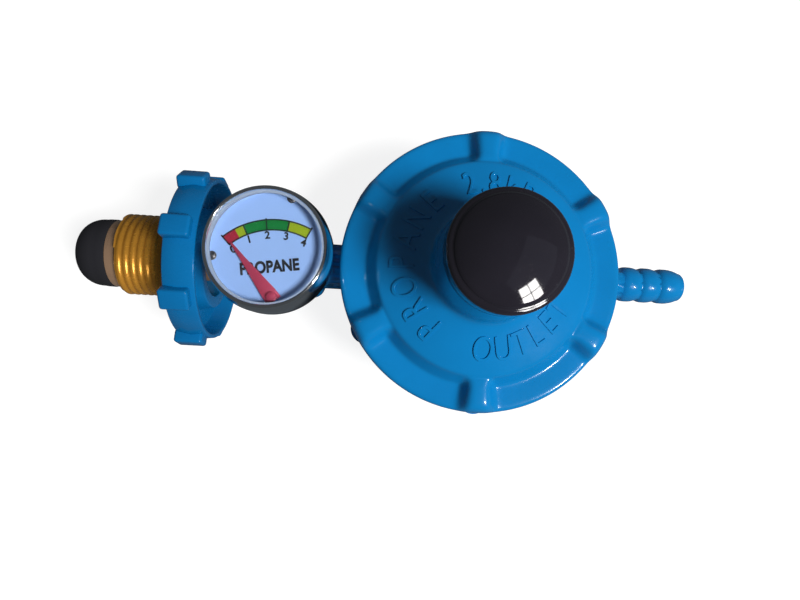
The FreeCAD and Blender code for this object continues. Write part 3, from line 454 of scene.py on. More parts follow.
def make_drift_group() -> bpy.types.NodeTree:
    """Slow changes of tone and gloss over a surface, with pale dust specks.

    Returns:
        A group with the outputs Colour and Roughness.
    """
    tree = bpy.data.node_groups.new("tone_drift", "ShaderNodeTree")
    group_sockets(tree, {"Colour": ("NodeSocketColor", (0.5, 0.5, 0.5, 1)), "Drift": ("NodeSocketFloat", 0.1),
                         "Patch": ("NodeSocketFloat", 90.0), "Gloss": ("NodeSocketFloat", 0.3),
                         "Gloss Change": ("NodeSocketFloat", 0.08), "Dust": ("NodeSocketFloat", 0.0)},
                  {"Colour": "NodeSocketColor", "Roughness": "NodeSocketFloat"})
    weave = Weaver(tree)
    given = weave.node("NodeGroupInput").outputs
    place = weave.node("ShaderNodeTexCoord").outputs["Object"]
    slow = weave.node("ShaderNodeTexNoise", {"Vector": place, "Scale": given["Patch"], "Detail": 4.0,
                                             "Roughness": 0.6}).outputs["Fac"]
    fine = weave.node("ShaderNodeTexNoise", {"Vector": place, "Scale": 900.0, "Detail": 3.0}).outputs["Fac"]
    swing = weave.spread(slow, 0.3, 0.7, -1.0, 1.0)
    scale = weave.maths("MULTIPLY_ADD", swing, given["Drift"])
    scale.node.inputs[2].default_value = 1.0
    tone = weave.node("ShaderNodeHueSaturation", {"Value": scale, "Color": given["Colour"]}).outputs[0]
    speck = weave.node("ShaderNodeTexVoronoi", {"Vector": place, "Scale": 420.0, "Randomness": 1.0}).outputs["Distance"]
    mask = weave.maths("MULTIPLY", weave.spread(speck, 0.05, 0.09, 1.0, 0.0), given["Dust"])
    mask = weave.maths("MULTIPLY", mask, weave.spread(fine, 0.5, 0.62, 0.0, 1.0))
    dusty = weave.blend(mask, tone, (0.7, 0.74, 0.78, 1.0))
    change = weave.maths("MULTIPLY", weave.spread(fine, 0.3, 0.7, -1.0, 1.0), given["Gloss Change"])
    patchy = weave.maths("MULTIPLY", swing, given["Gloss Change"])
    rough = weave.maths("ADD", weave.maths("ADD", given["Gloss"], change), patchy)
    rough = weave.maths("ADD", rough, weave.maths("MULTIPLY", mask, 0.3))
    weave.node("NodeGroupOutput", {"Colour": dusty, "Roughness": weave.spread(rough, 0.0, 1.0, 0.0, 1.0)})
    return tree


def make_skin_group() -> bpy.types.NodeTree:
    """Fine relief: the orange peel of enamel, the grain of rubber, or turning marks round an axis.

    Returns:
        A group with the output Normal.
    """
    tree = bpy.data.node_groups.new("fine_relief", "ShaderNodeTree")
    group_sockets(tree, {"Grain Scale": ("NodeSocketFloat", 600.0), "Grain": ("NodeSocketFloat", 0.1),
                         "Lumps": ("NodeSocketFloat", 0.0), "Turning": ("NodeSocketFloat", 0.0),
                         "Along": ("NodeSocketVector", (1.0, 0.0, 0.0))},
                  {"Normal": "NodeSocketVector"})
    weave = Weaver(tree)
    given = weave.node("NodeGroupInput").outputs
    place = weave.node("ShaderNodeTexCoord").outputs["Object"]
    grain = weave.node("ShaderNodeTexNoise", {"Vector": place, "Scale": given["Grain Scale"], "Detail": 3.0,
                                              "Roughness": 0.55}).outputs["Fac"]
    lumps = weave.node("ShaderNodeTexNoise", {"Vector": place, "Scale": 130.0, "Detail": 1.0}).outputs["Fac"]
    run = weave.node("ShaderNodeVectorMath", {0: place, 1: given["Along"]}, operation="DOT_PRODUCT")
    marks = weave.node("ShaderNodeTexNoise", {"W": run.outputs["Value"], "Scale": 5200.0, "Detail": 2.0},
                       noise_dimensions="1D").outputs["Fac"]
    first = weave.node("ShaderNodeBump", {"Height": lumps, "Strength": given["Lumps"], "Distance": 0.0006})
    second = weave.node("ShaderNodeBump", {"Height": grain, "Strength": given["Grain"], "Distance": 0.0001,
                                           "Normal": first.outputs[0]})
    third = weave.node("ShaderNodeBump", {"Height": marks, "Strength": given["Turning"], "Distance": 0.00006,
                                          "Normal": second.outputs[0]})
    weave.node("NodeGroupOutput", {"Normal": third.outputs[0]})
    return tree


def make_corner_group() -> bpy.types.NodeTree:
    """Paints shade into a colour: darkens it in its inner corners, where shade falls.

    Returns:
        A group with the output Colour.
    """
    tree = bpy.data.node_groups.new("painted_corner_shade", "ShaderNodeTree")
    group_sockets(tree, {"Colour": ("NodeSocketColor", (0.5, 0.5, 0.5, 1)), "Corner Shade": ("NodeSocketFloat", 0.3)},
                  {"Colour": "NodeSocketColor"})
    weave = Weaver(tree)
    given = weave.node("NodeGroupInput").outputs
    point = weave.node("ShaderNodeNewGeometry").outputs["Pointiness"]
    # painted shade: concave places (low pointiness) are blended towards a dark teal
    corner = weave.maths("MULTIPLY", weave.spread(point, 0.48, 0.4, 0.0, 1.0), given["Corner Shade"])
    dark = weave.blend(corner, given["Colour"], (0.0, 0.01, 0.02, 1.0))
    weave.node("NodeGroupOutput", {"Colour": dark})
    return tree


@dataclass(frozen=True)
class Finish:
    """How one surface looks. Lengths in the noise are per metre."""

    name: str
    slot: str
    colour: tuple[float, float, float]
    metallic: float = 0.0
    gloss: float = 0.35
    gloss_change: float = 0.06
    drift: float = 0.06
    patch: float = 90.0
    dust: float = 0.0
    grain: float = 0.15
    grain_scale: float = 1400.0
    lumps: float = 0.0
    turning: float = 0.0
    along: Point = (1.0, 0.0, 0.0)
    # corner: how strongly painted shade darkens the inner corners
    corner: float = 0.0
    coat: float = 0.0
    coat_gloss: float = 0.05
    specular: float = 0.5

    def material(self) -> bpy.types.Material:
        """Builds the material once and gives it back after that."""
        known = bpy.data.materials.get(self.name)
        if known is not None:
            return known
        made, weave = bare_material(self.name)
        drift = weave.node("ShaderNodeGroup", {
            "Colour": (*self.colour, 1.0), "Drift": self.drift, "Patch": self.patch, "Gloss": self.gloss,
            "Gloss Change": self.gloss_change, "Dust": self.dust}, node_tree=GROUPS["drift"])
        relief = weave.node("ShaderNodeGroup", {
            "Grain Scale": self.grain_scale, "Grain": self.grain, "Lumps": self.lumps, "Turning": self.turning,
            "Along": self.along}, node_tree=GROUPS["skin"])
        colour = drift.outputs["Colour"]
        # paints shade into the inner corners of the colour
        if self.corner:
            colour = weave.node("ShaderNodeGroup", {"Colour": colour, "Corner Shade": self.corner},
                                node_tree=GROUPS["corner"]).outputs["Colour"]
        shader = weave.node("ShaderNodeBsdfPrincipled", {
            "Base Color": colour, "Metallic": self.metallic, "Roughness": drift.outputs["Roughness"],
            "Normal": relief.outputs["Normal"], "Coat Weight": self.coat, "Coat Roughness": self.coat_gloss,
            "Specular IOR Level": self.specular})
        weave.node("ShaderNodeOutputMaterial", {"Surface": shader.outputs[0]})
        return made


@dataclass(frozen=True)
class Glass:
    """Clear moulded window: refracts for the eye, and lets light straight through to the dial."""

    name: str = "clear_window"
    slot: str = "lens"
    gloss: float = 0.02

    def material(self) -> bpy.types.Material:
        """Builds the material once and gives it back after that."""
        known = bpy.data.materials.get(self.name)
        if known is not None:
            return known
        made, weave = bare_material(self.name)
        place = weave.node("ShaderNodeTexCoord").outputs["Object"]
        smear = weave.node("ShaderNodeTexNoise", {"Vector": place, "Scale": 160.0, "Detail": 4.0}).outputs["Fac"]
        rough = weave.spread(smear, 0.45, 0.75, self.gloss, 0.07)
        bump = weave.node("ShaderNodeBump", {"Height": smear, "Strength": 0.04, "Distance": 0.0004})
        clear = weave.node("ShaderNodeBsdfPrincipled", {
            "Base Color": (0.97, 0.985, 1.0, 1.0), "Roughness": rough, "IOR": 1.49, "Transmission Weight": 1.0,
            "Normal": bump.outputs[0]})
        through = weave.node("ShaderNodeBsdfTransparent", {"Color": (0.95, 0.96, 0.98, 1.0)})
        rays = weave.node("ShaderNodeLightPath").outputs
        unseen = weave.node("ShaderNodeMath", {0: rays["Is Shadow Ray"], 1: rays["Is Diffuse Ray"]},
                            operation="MAXIMUM").outputs[0]
        mix = weave.node("ShaderNodeMixShader", {0: unseen, 1: clear.outputs[0], 2: through.outputs[0]})
        weave.node("ShaderNodeOutputMaterial", {"Surface": mix.outputs[0]})
        return made


# the corner group paints shade into inner corners
GROUPS = {"drift": make_drift_group(), "skin": make_skin_group(), "corner": make_corner_group()}

# In these finishes, corner is how much painted shade darkens the inner corners.
ENAMEL = Finish("blue_enamel", "blue_casting", (0.0015, 0.18, 0.46), gloss=0.22, gloss_change=0.02, drift=0.05,
                patch=60.0, grain=0.02, grain_scale=700.0, lumps=0.08, corner=0.6, coat=0.5,
                coat_gloss=0.04, specular=0.4)
MOULDING = Finish("blue_moulding", "blue_plastic", (0.0015, 0.135, 0.36), gloss=0.26, gloss_change=0.03, drift=0.05,
                  patch=70.0, grain=0.03, grain_scale=900.0, lumps=0.10, corner=0.5, coat=0.2,
                  coat_gloss=0.08, specular=0.4)
BLACK_GLOSS = Finish("black_gloss", "black_plastic", (0.009, 0.008, 0.012), gloss=0.08, gloss_change=0.02,
                     drift=0.12, dust=0.02, grain=0.015, lumps=0.03, coat=0.5, coat_gloss=0.03)
BLACK_PLASTIC = Finish("black_plastic_thread", "black_plastic", (0.012, 0.012, 0.013), gloss=0.42, grain=0.3)
RUBBER = Finish("black_rubber", "black_rubber", (0.0025, 0.0025, 0.0035), gloss=0.38, gloss_change=0.05, drift=0.2,
                grain=0.2, grain_scale=1600.0, specular=0.08)
FIBRE = Finish("red_fibre", "fibre", (0.22, 0.035, 0.025), gloss=0.7, grain=0.5, drift=0.15)
THREAD_BRASS = Finish("thread_brass", "brass", (0.52, 0.24, 0.03), metallic=0.6, gloss=0.25, gloss_change=0.04,
                      drift=0.12, patch=140.0, grain=0.02, turning=0.04)
COLLAR_BRASS = Finish("collar_brass", "brass", (0.60, 0.38, 0.24), metallic=0.8, gloss=0.15, gloss_change=0.03,
                      drift=0.08, grain=0.04, turning=0.1, corner=0.15)
BRASS = Finish("machined_brass", "brass", (0.66, 0.48, 0.19), metallic=1.0, gloss=0.3, drift=0.1, turning=0.4,
               along=(0.0, 0.0, 1.0))
STEEL = Finish("zinc_steel", "steel", (0.50, 0.51, 0.54), metallic=1.0, gloss=0.36, gloss_change=0.08, drift=0.1,
               grain=0.2)
CASE_STEEL = Finish("case_steel", "steel", (0.40, 0.42, 0.47), metallic=0.35, gloss=0.34, drift=0.08, turning=0.3,
                    along=(0.0, 0.0, 1.0))
BEZEL = Finish("bezel_steel", "bezel_steel", (0.34, 0.325, 0.33), metallic=0.15, gloss=0.30, gloss_change=0.03,
               drift=0.05, grain=0.03, turning=0.05, along=(0.0, 0.0, 1.0))
RIVET = Finish("dark_rivet", "steel", (0.10, 0.095, 0.10), metallic=0.7, gloss=0.4, grain=0.1)
SEAL = Finish("pale_seal", "black_rubber", (0.30, 0.36, 0.46), gloss=0.5, gloss_change=0.04, drift=0.05, grain=0.1)
DIAL = Finish("dial_enamel", "dial_white", (0.31, 0.48, 0.83), gloss=0.5, drift=0.03, grain=0.06)
INK = Finish("dial_ink", "dial_white", (0.004, 0.004, 0.006), gloss=0.5, drift=0.1)
INK_RED = Finish("dial_red", "dial_white", (0.30, 0.012, 0.03), gloss=0.5)
INK_LIME = Finish("dial_lime", "dial_white", (0.27, 0.36, 0.01), gloss=0.5)
INK_GREEN = Finish("dial_green", "dial_white", (0.0, 0.14, 0.022), gloss=0.5)
NEEDLE_RED = Finish("needle_red", "pointer_red", (0.36, 0.04, 0.08), gloss=0.4, gloss_change=0.08, grain=0.2)
WINDOW = Glass()

NODE_FINISHES = {
    "lower_housing": ENAMEL, "bonnet": ENAMEL, "flange_screws": STEEL, "diaphragm": RUBBER,
    "inlet_nipple": COLLAR_BRASS,
    "nose_seal": RUBBER, "inlet_filter": BRASS, "inlet_nozzle": BRASS, "lever_pin": STEEL, "gauge_washer": FIBRE,
    "gauge_stem": BRASS, "gauge_case": CASE_STEEL, "gauge_bezel": BEZEL, "lens_seal": SEAL, "gauge_lens": WINDOW,
    "gauge_dial": DIAL, "gauge_bridge": BRASS, "bourdon_tube": BRASS, "tube_feed": BRASS, "main_spring": STEEL,
    "union_nut": THREAD_BRASS, "hand_wheel": MOULDING, "adjuster_cap": BLACK_GLOSS, "spring_seat": STEEL,
    "adjusting_screw": BLACK_PLASTIC, "diaphragm_plate": STEEL, "clamp_washer": STEEL, "diaphragm_stem": BRASS,
    "stem_nut": STEEL, "lever": STEEL, "valve_plunger": BRASS, "valve_disc": RUBBER, "gauge_pointer": NEEDLE_RED,
    "pointer_shaft": BRASS,
}


def dress(piece: bpy.types.Object, finish: Finish | Glass) -> None:
    """Puts a finish on the whole of a piece."""
    if not piece.data.materials:
        piece.data.materials.append(None)
    for index, holder in enumerate(piece.material_slots):
        holder.link = "OBJECT"
        holder.material = finish.material()


def stand_in(piece: bpy.types.Object, body: str, finish: Finish | Glass, *nodes: str,
             crease: Optional[float] = None) -> None:
    """Shades and dresses a finished piece, lets it ride on its body and stand for CAD nodes.

    Args:
        piece: The finished piece.
        body: The body it moves with.
        finish: Its finish.
        nodes: The CAD nodes that it stands for, if any.
        crease: The angle, in degrees, over which its edges stay sharp, if it is still to be shaded.
    """
    if crease is not None:
        Bench.smooth(piece, crease)
    dress(piece, finish)
    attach(piece, body)
    if nodes:
        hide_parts(*nodes)
    LOG.info("%s: %d faces on %s", piece.name, len(piece.data.polygons), body)


# ---------------------------------------------------------------- castings
@dataclass
class Castings:
    """The enamelled bonnet with its ribs and raised lettering, and the lower housing."""

    facets: int = 144
    ribs: int = 6
    rib_first: float = 30.0
    letter_radius: float = 21.6
    letter_height: float = 7.0
    letter_proud: float = 0.24
    cone_slope: float = 22.0

    def bonnet_profile(self) -> list[tuple[float, float]]:
        """The bonnet's section as (height, radius), a closed loop."""
        return [
            (31.6, 11.5), (44.0, 11.5), (52.8, 11.5), (53.5, 11.7), (53.6, 12.0), (53.4, 12.35), (52.6, 12.4),
            (49.4, 12.4), (49.02, 12.45), (48.98, 13.1), (48.75, 13.45), (48.0, 13.52), (42.0, 13.95),
            (37.0, 14.35), (35.4, 14.6), (34.2, 15.4), (33.4, 17.0), (32.3, 19.6), (30.9, 23.0), (29.75, 26.0),
            (29.15, 27.6), (28.85, 28.25), (28.35, 28.7), (27.0, 29.5), (25.7, 30.4), (25.0, 30.95),
            (24.72, 31.6), (24.7, 32.6), (24.7, 34.4), (24.7, 36.1), (24.66, 37.2), (24.3, 37.9),
            (23.6, 38.13), (22.6, 38.15), (20.7, 38.15), (20.3, 38.12), (20.22, 37.7), (20.22, 33.0),
            (20.22, 28.3), (20.6, 27.9), (24.1, 27.8), (26.5, 25.8),
        ]

    def build_bonnet(self) -> None:
        """Turns the section, raises the ribs over the screws and smooths the whole as one casting."""
        bonnet = Bench.lathe("bonnet_casting", self.bonnet_profile(), Axis.UPRIGHT, (0.0, 0.0, 0.0), self.facets,
                             ring=True)
        pitch = 360.0 / self.ribs
        # for each ring of vertices: its radius, its height, and the height of the rib's crest over it
        crests = [(28.7, 28.35, 28.5), (29.5, 27.0, 28.6), (30.4, 25.7, 28.6), (30.95, 25.0, 28.6),
                  (31.6, 24.72, 28.6), (32.6, 24.7, 28.6), (34.4, 24.7, 28.55), (36.1, 24.7, 28.35),
                  (37.2, 24.66, 27.55), (37.9, 24.3, 26.2), (38.13, 23.6, 24.6)]
        # how much of the crest's height each step away from the rib's middle has
        flanks = [(0.0, 1.0), (2.5, 1.0), (5.0, 0.88), (7.5, 0.08)]
        for radius, height, crest in crests:
            for offset, share in flanks:
                lift = (crest - height) * share
                if lift < 0.02:
                    continue

                def on_rib(at: Vector) -> bool:
                    turn = (math.degrees(math.atan2(at.y, at.x)) - self.rib_first) % pitch
                    apart = min(turn, pitch - turn)
                    reach = math.hypot(at.x, at.y)
                    return abs(apart - offset) < 0.5 and abs(reach - radius) < 0.06 and abs(at.z - height) < 0.06

                if Bench.choose(bonnet, on_rib):
                    bpy.ops.transform.translate(value=(0.0, 0.0, lift * MM))
        Bench.clear()
        Bench.modify(bonnet, "SUBSURF", levels=2, render_levels=2)
        Bench.take(bonnet)
        bpy.ops.object.shade_smooth()
        stand_in(bonnet, "housing", ENAMEL, "bonnet")

    def letter_place(self, degrees: float, outward: bool) -> Matrix:
        """Where a letter lies on the cone.

        Args:
            degrees: Its angle round the tower.
            outward: Whether its top points away from the tower.

        Returns:
            The matrix that puts a flat letter there.
        """
        turn = math.radians(degrees)
        slope = math.radians(self.cone_slope)
        out = Vector((math.cos(turn) * math.cos(slope), math.sin(turn) * math.cos(slope), -math.sin(slope)))
        normal = Vector((math.cos(turn) * math.sin(slope), math.sin(turn) * math.sin(slope), math.cos(slope)))
        up = out if outward else -out
        reading = up.cross(normal)
        height = 32.3 - (self.letter_radius - 19.6) * 1.4 / 3.4 + 0.02
        place = Vector((math.cos(turn) * self.letter_radius, math.sin(turn) * self.letter_radius, height)) * MM
        matrix = Matrix((reading, up, normal)).transposed().to_4x4()
        matrix.translation = place
        return matrix

    def build_lettering(self) -> None:
        """Raises generic words on the cone, as thin cast letters."""
        words = [("PROPANE", 238.0, 126.0, True), ("OUTLET", -98.0, -22.0, False), ("2.8kPa", 110.0, 46.0, True)]
        letters = []
        for word, first, last, outward in words:
            shares = [{".": 0.5, "L": 0.9, "T": 0.9, "E": 0.9, "O": 1.1, "N": 1.1}.get(letter, 1.0) for letter in word]
            passed = 0.0
            for letter, share in zip(word, shares):
                degrees = first + (last - first) * (passed + share / 2) / sum(shares)
                passed += share
                letters.append(Bench.glyph(letter, self.letter_height, self.letter_proud,
                                           self.letter_place(degrees, outward), slim=0.10, width=0.68))
        lettering = Bench.join("raised_lettering", letters)
        stand_in(lettering, "housing", ENAMEL, crease=50.0)

    def build(self) -> None:
        """Makes the bonnet, its lettering and the lower housing."""
        self.build_bonnet()
        self.build_lettering()
        stand_in(Bench.merged_copy("lower_casting", "lower_housing"), "housing", ENAMEL, "lower_housing")


# ---------------------------------------------------------------- cap
@dataclass
class Cap:
    """The black dome over the adjusting screw."""

    facets: int = 128
    bore: float = 12.45
    outer: float = 13.9
    crown: float = 12.15

    def build(self) -> None:
        """Turns the cap: a skirt, a rounded shoulder, a fine step and the dome."""
        low, high = (corner.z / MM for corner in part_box("adjuster_cap"))
        profile = [(54.2, self.bore), (low + 0.25, self.bore), (low, self.bore + 0.25), (low, self.outer - 0.45)]
        profile += arc_points((low, self.outer - 0.4), (low + 0.4, self.outer), 0.12, 3)[1:]
        profile += [(low + 3.0, self.outer)]
        profile += arc_points((53.9, self.outer), (56.0, self.crown + 0.45), 0.62, 8)
        profile += [(56.25, self.crown + 0.28)]
        profile += arc_points((56.75, self.crown - 0.1), (high, 0.0), 0.985, 22)
        profile += arc_points((high - 1.5, 0.0), (55.6, 10.6), -0.8, 12)
        cap = Bench.lathe("cap_dome", profile, Axis.UPRIGHT, (0.0, 0.0, 0.0), self.facets, ring=True)
        stand_in(cap, "cap", BLACK_GLOSS, "adjuster_cap", crease=45.0)


# ---------------------------------------------------------------- gauge
@dataclass
class Gauge:
    """The pressure gauge: rolled bezel, domed window, printed scale and red needle."""

    centre_x: float = -54.7
    yaw: float = 8.5
    drop: float = 11.6              # from the dial's middle to the needle's pivot
    dial_top: float = 35.6
    scale_outer: float = 18.9
    scale_inner: float = 16.4
    scale_half: float = 34.1
    needle_at: float = 31.8
    needle_length: float = 16.3
    line_half: float = 0.18
    digit_height: float = 1.8
    word_height: float = 2.75
    ink_depth: float = 0.02

    def place(self, x: float, y: float, z: float = 0.0) -> Point:
        """A point given from the dial's middle, turned with the dial."""
        turn = math.radians(self.yaw)
        return (self.centre_x + x * math.cos(turn) - y * math.sin(turn), x * math.sin(turn) + y * math.cos(turn), z)

    def matrix(self, x: float, y: float, z: float, extra: float = 0.0) -> Matrix:
        """Where a flat word lies on the dial."""
        made = Matrix.Rotation(math.radians(self.yaw + extra), 4, "Z")
        made.translation = Vector(self.place(x, y, z)) * MM
        return made

    def build_bezel(self) -> None:
        """Turns the rolled ring over the window's edge."""
        profile = [(29.0, 14.55), (29.0, 15.2), (29.2, 15.42), (29.6, 15.5), (34.5, 15.5)]
        profile += arc_points((35.4, 15.48), (40.0, 14.72), 0.12, 6)
        profile += arc_points((40.3, 14.65), (40.98, 14.15), 0.16, 6)
        profile += arc_points((41.02, 14.05), (40.6, 13.66), 0.1, 5)
        profile += [(40.25, 13.62), (40.2, 14.55)]
        bezel = Bench.lathe("rolled_bezel", profile, Axis.UPRIGHT, (self.centre_x, 0.0, 0.0), 128, ring=True)
        stand_in(bezel, "housing", BEZEL, "gauge_bezel", crease=40.0)

    def build_window(self) -> None:
        """Turns the thin domed window."""
        profile = arc_points((42.25, 0.0), (40.45, 13.45), -0.45, 20)
        profile += [(40.15, 13.9), (40.15, 14.45), (39.2, 14.45), (39.2, 13.75)]
        profile += arc_points((39.35, 13.6), (41.15, 0.0), 0.42, 16)
        window = Bench.lathe("domed_window", profile, Axis.UPRIGHT, (self.centre_x, 0.0, 0.0), 96)
        stand_in(window, "housing", WINDOW, "gauge_lens", crease=40.0)

    def sector(self, name: str, inner: float, outer: float, first: float, last: float, lift: float,
               finish: Finish) -> bpy.types.Object:
        """A printed piece of ring about the needle's pivot.

        Args:
            name: Its name.
            inner: Its inner radius.
            outer: Its outer radius.
            first: Its first angle, in degrees left of the scale's middle.
            last: Its last angle.
            lift: Its height over the dial, in millimetres.
            finish: Its ink.

        Returns:
            The printed piece.
        """
        def at(radius: float, degrees: float) -> Point:
            turn = math.radians(degrees)
            return self.place(-radius * math.sin(turn), -self.drop + radius * math.cos(turn), self.dial_top + lift)

        steps = max(2, round(abs(first - last) / 1.5))
        piece = Bench.draw(name, [at(inner, first), at(outer, first)])
        Bench.spin(piece, steps, Axis.UPRIGHT, self.place(0.0, -self.drop, 0.0), math.radians(first - last))
        Bench.modify(piece, "SOLIDIFY", thickness=0.03 * MM, offset=0.0)
        dress(piece, finish)
        return piece

    def build_scale(self) -> None:
        """Prints the coloured bands, their outline, the division marks, the numbers and the word."""
        unit = self.scale_half / 2
        zero = self.scale_half
        bands = [("band_red", 0.0, 0.6, INK_RED), ("band_low", 0.6, 1.0, INK_LIME), ("band_green", 1.0, 3.0, INK_GREEN),
                 ("band_high", 3.0, 4.0, INK_LIME)]
        for name, first, last, ink in bands:
            band = self.sector(name, self.scale_inner, self.scale_outer, zero - unit * first, zero - unit * last, 0.03,
                               ink)
            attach(band, "housing")
        lines = []
        for radius in (self.scale_inner, self.scale_outer):
            lines.append(self.sector("line", radius - self.line_half, radius + self.line_half, zero + 0.3, -zero - 0.3,
                                     0.06, INK))
        for value, over in ((0, 0.5), (1, 0.1), (2, 0.4), (3, 0.1), (4, 0.5)):
            middle = zero - unit * value
            lines.append(self.sector("mark", self.scale_inner - 0.1, self.scale_outer + over, middle + 0.55,
                                     middle - 0.55, 0.09, INK))
        for value, radius in ((0, 14.9), (1, 15.1), (2, 15.1), (3, 15.1), (4, 15.1)):
            degrees = zero - unit * value
            turn = math.radians(degrees)
            x = -radius * math.sin(turn)
            y = -self.drop + radius * math.cos(turn)
            digit = Bench.glyph(str(value), self.digit_height, self.ink_depth,
                                self.matrix(x, y, self.dial_top + 0.04, degrees * 0.6), slim=-0.07)
            lines.append(digit)
        lines.append(Bench.glyph("PROPANE", self.word_height, self.ink_depth,
                                 self.matrix(-0.1, -4.3, self.dial_top + 0.04), slim=-0.16,
                                 width=0.82))
        for line in lines:
            dress(line, INK)
        stand_in(Bench.join("dial_printing", lines), "housing", INK)

    def build_pins(self) -> None:
        """Two small rivets at the dial's edge."""
        pins = []
        for x, y in ((-13.45, -0.25), (6.55, 12.0)):
            profile = [(35.3, 1.15), (35.75, 1.1)] + arc_points((35.8, 1.0), (36.1, 0.0), 0.06, 4)
            pins.append(Bench.lathe("pin", profile + [(35.3, 0.0)], Axis.UPRIGHT, self.place(x, y, 0.0), 32))
        rivets = Bench.join("dial_rivets", pins)
        stand_in(rivets, "housing", RIVET, crease=40.0)

    def build_needle(self) -> None:
        """Cuts the tapered needle with its tail and its hub."""
        def at(x: float, y: float) -> Point:
            turn = math.radians(self.yaw + self.needle_at)
            px, py, _ = self.place(0.0, -self.drop, 0.0)
            return (px + x * math.cos(turn) - y * math.sin(turn), py + x * math.sin(turn) + y * math.cos(turn), 36.5)

        outline = [(-1.85, -1.15), (1.85, -1.15), (1.8, 1.2), (1.45, 4.2), (0.62, 11.5), (0.24, self.needle_length),
                   (-0.24, self.needle_length), (-0.62, 11.5), (-1.45, 4.2), (-1.8, 1.2)]
        blade = Bench.draw("blade", [at(x, y) for x, y in outline], filled=True)
        Bench.modify(blade, "SOLIDIFY", thickness=0.32 * MM, offset=1.0)
        Bench.soften(blade, 0.06, 2)
        low, high = (corner.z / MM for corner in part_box("gauge_pointer"))
        pivot = self.place(0.0, -self.drop, 0.0)
        hub = Bench.lathe("hub", [(low, 0.0), (low, 1.25)] + arc_points((high - 0.25, 1.2), (high, 0.0), 0.05, 4),
                          Axis.UPRIGHT, pivot, 32)
        needle = Bench.join("needle", [blade, hub])
        stand_in(needle, "needle", NEEDLE_RED, "gauge_pointer", crease=35.0)

    def build(self) -> None:
        """Makes every piece of the gauge."""
        self.build_bezel()
        self.build_window()
        self.build_scale()
        self.build_pins()
        self.build_needle()
        stand_in(Bench.merged_copy("pressed_case", "gauge_case"), "housing", CASE_STEEL, "gauge_case")


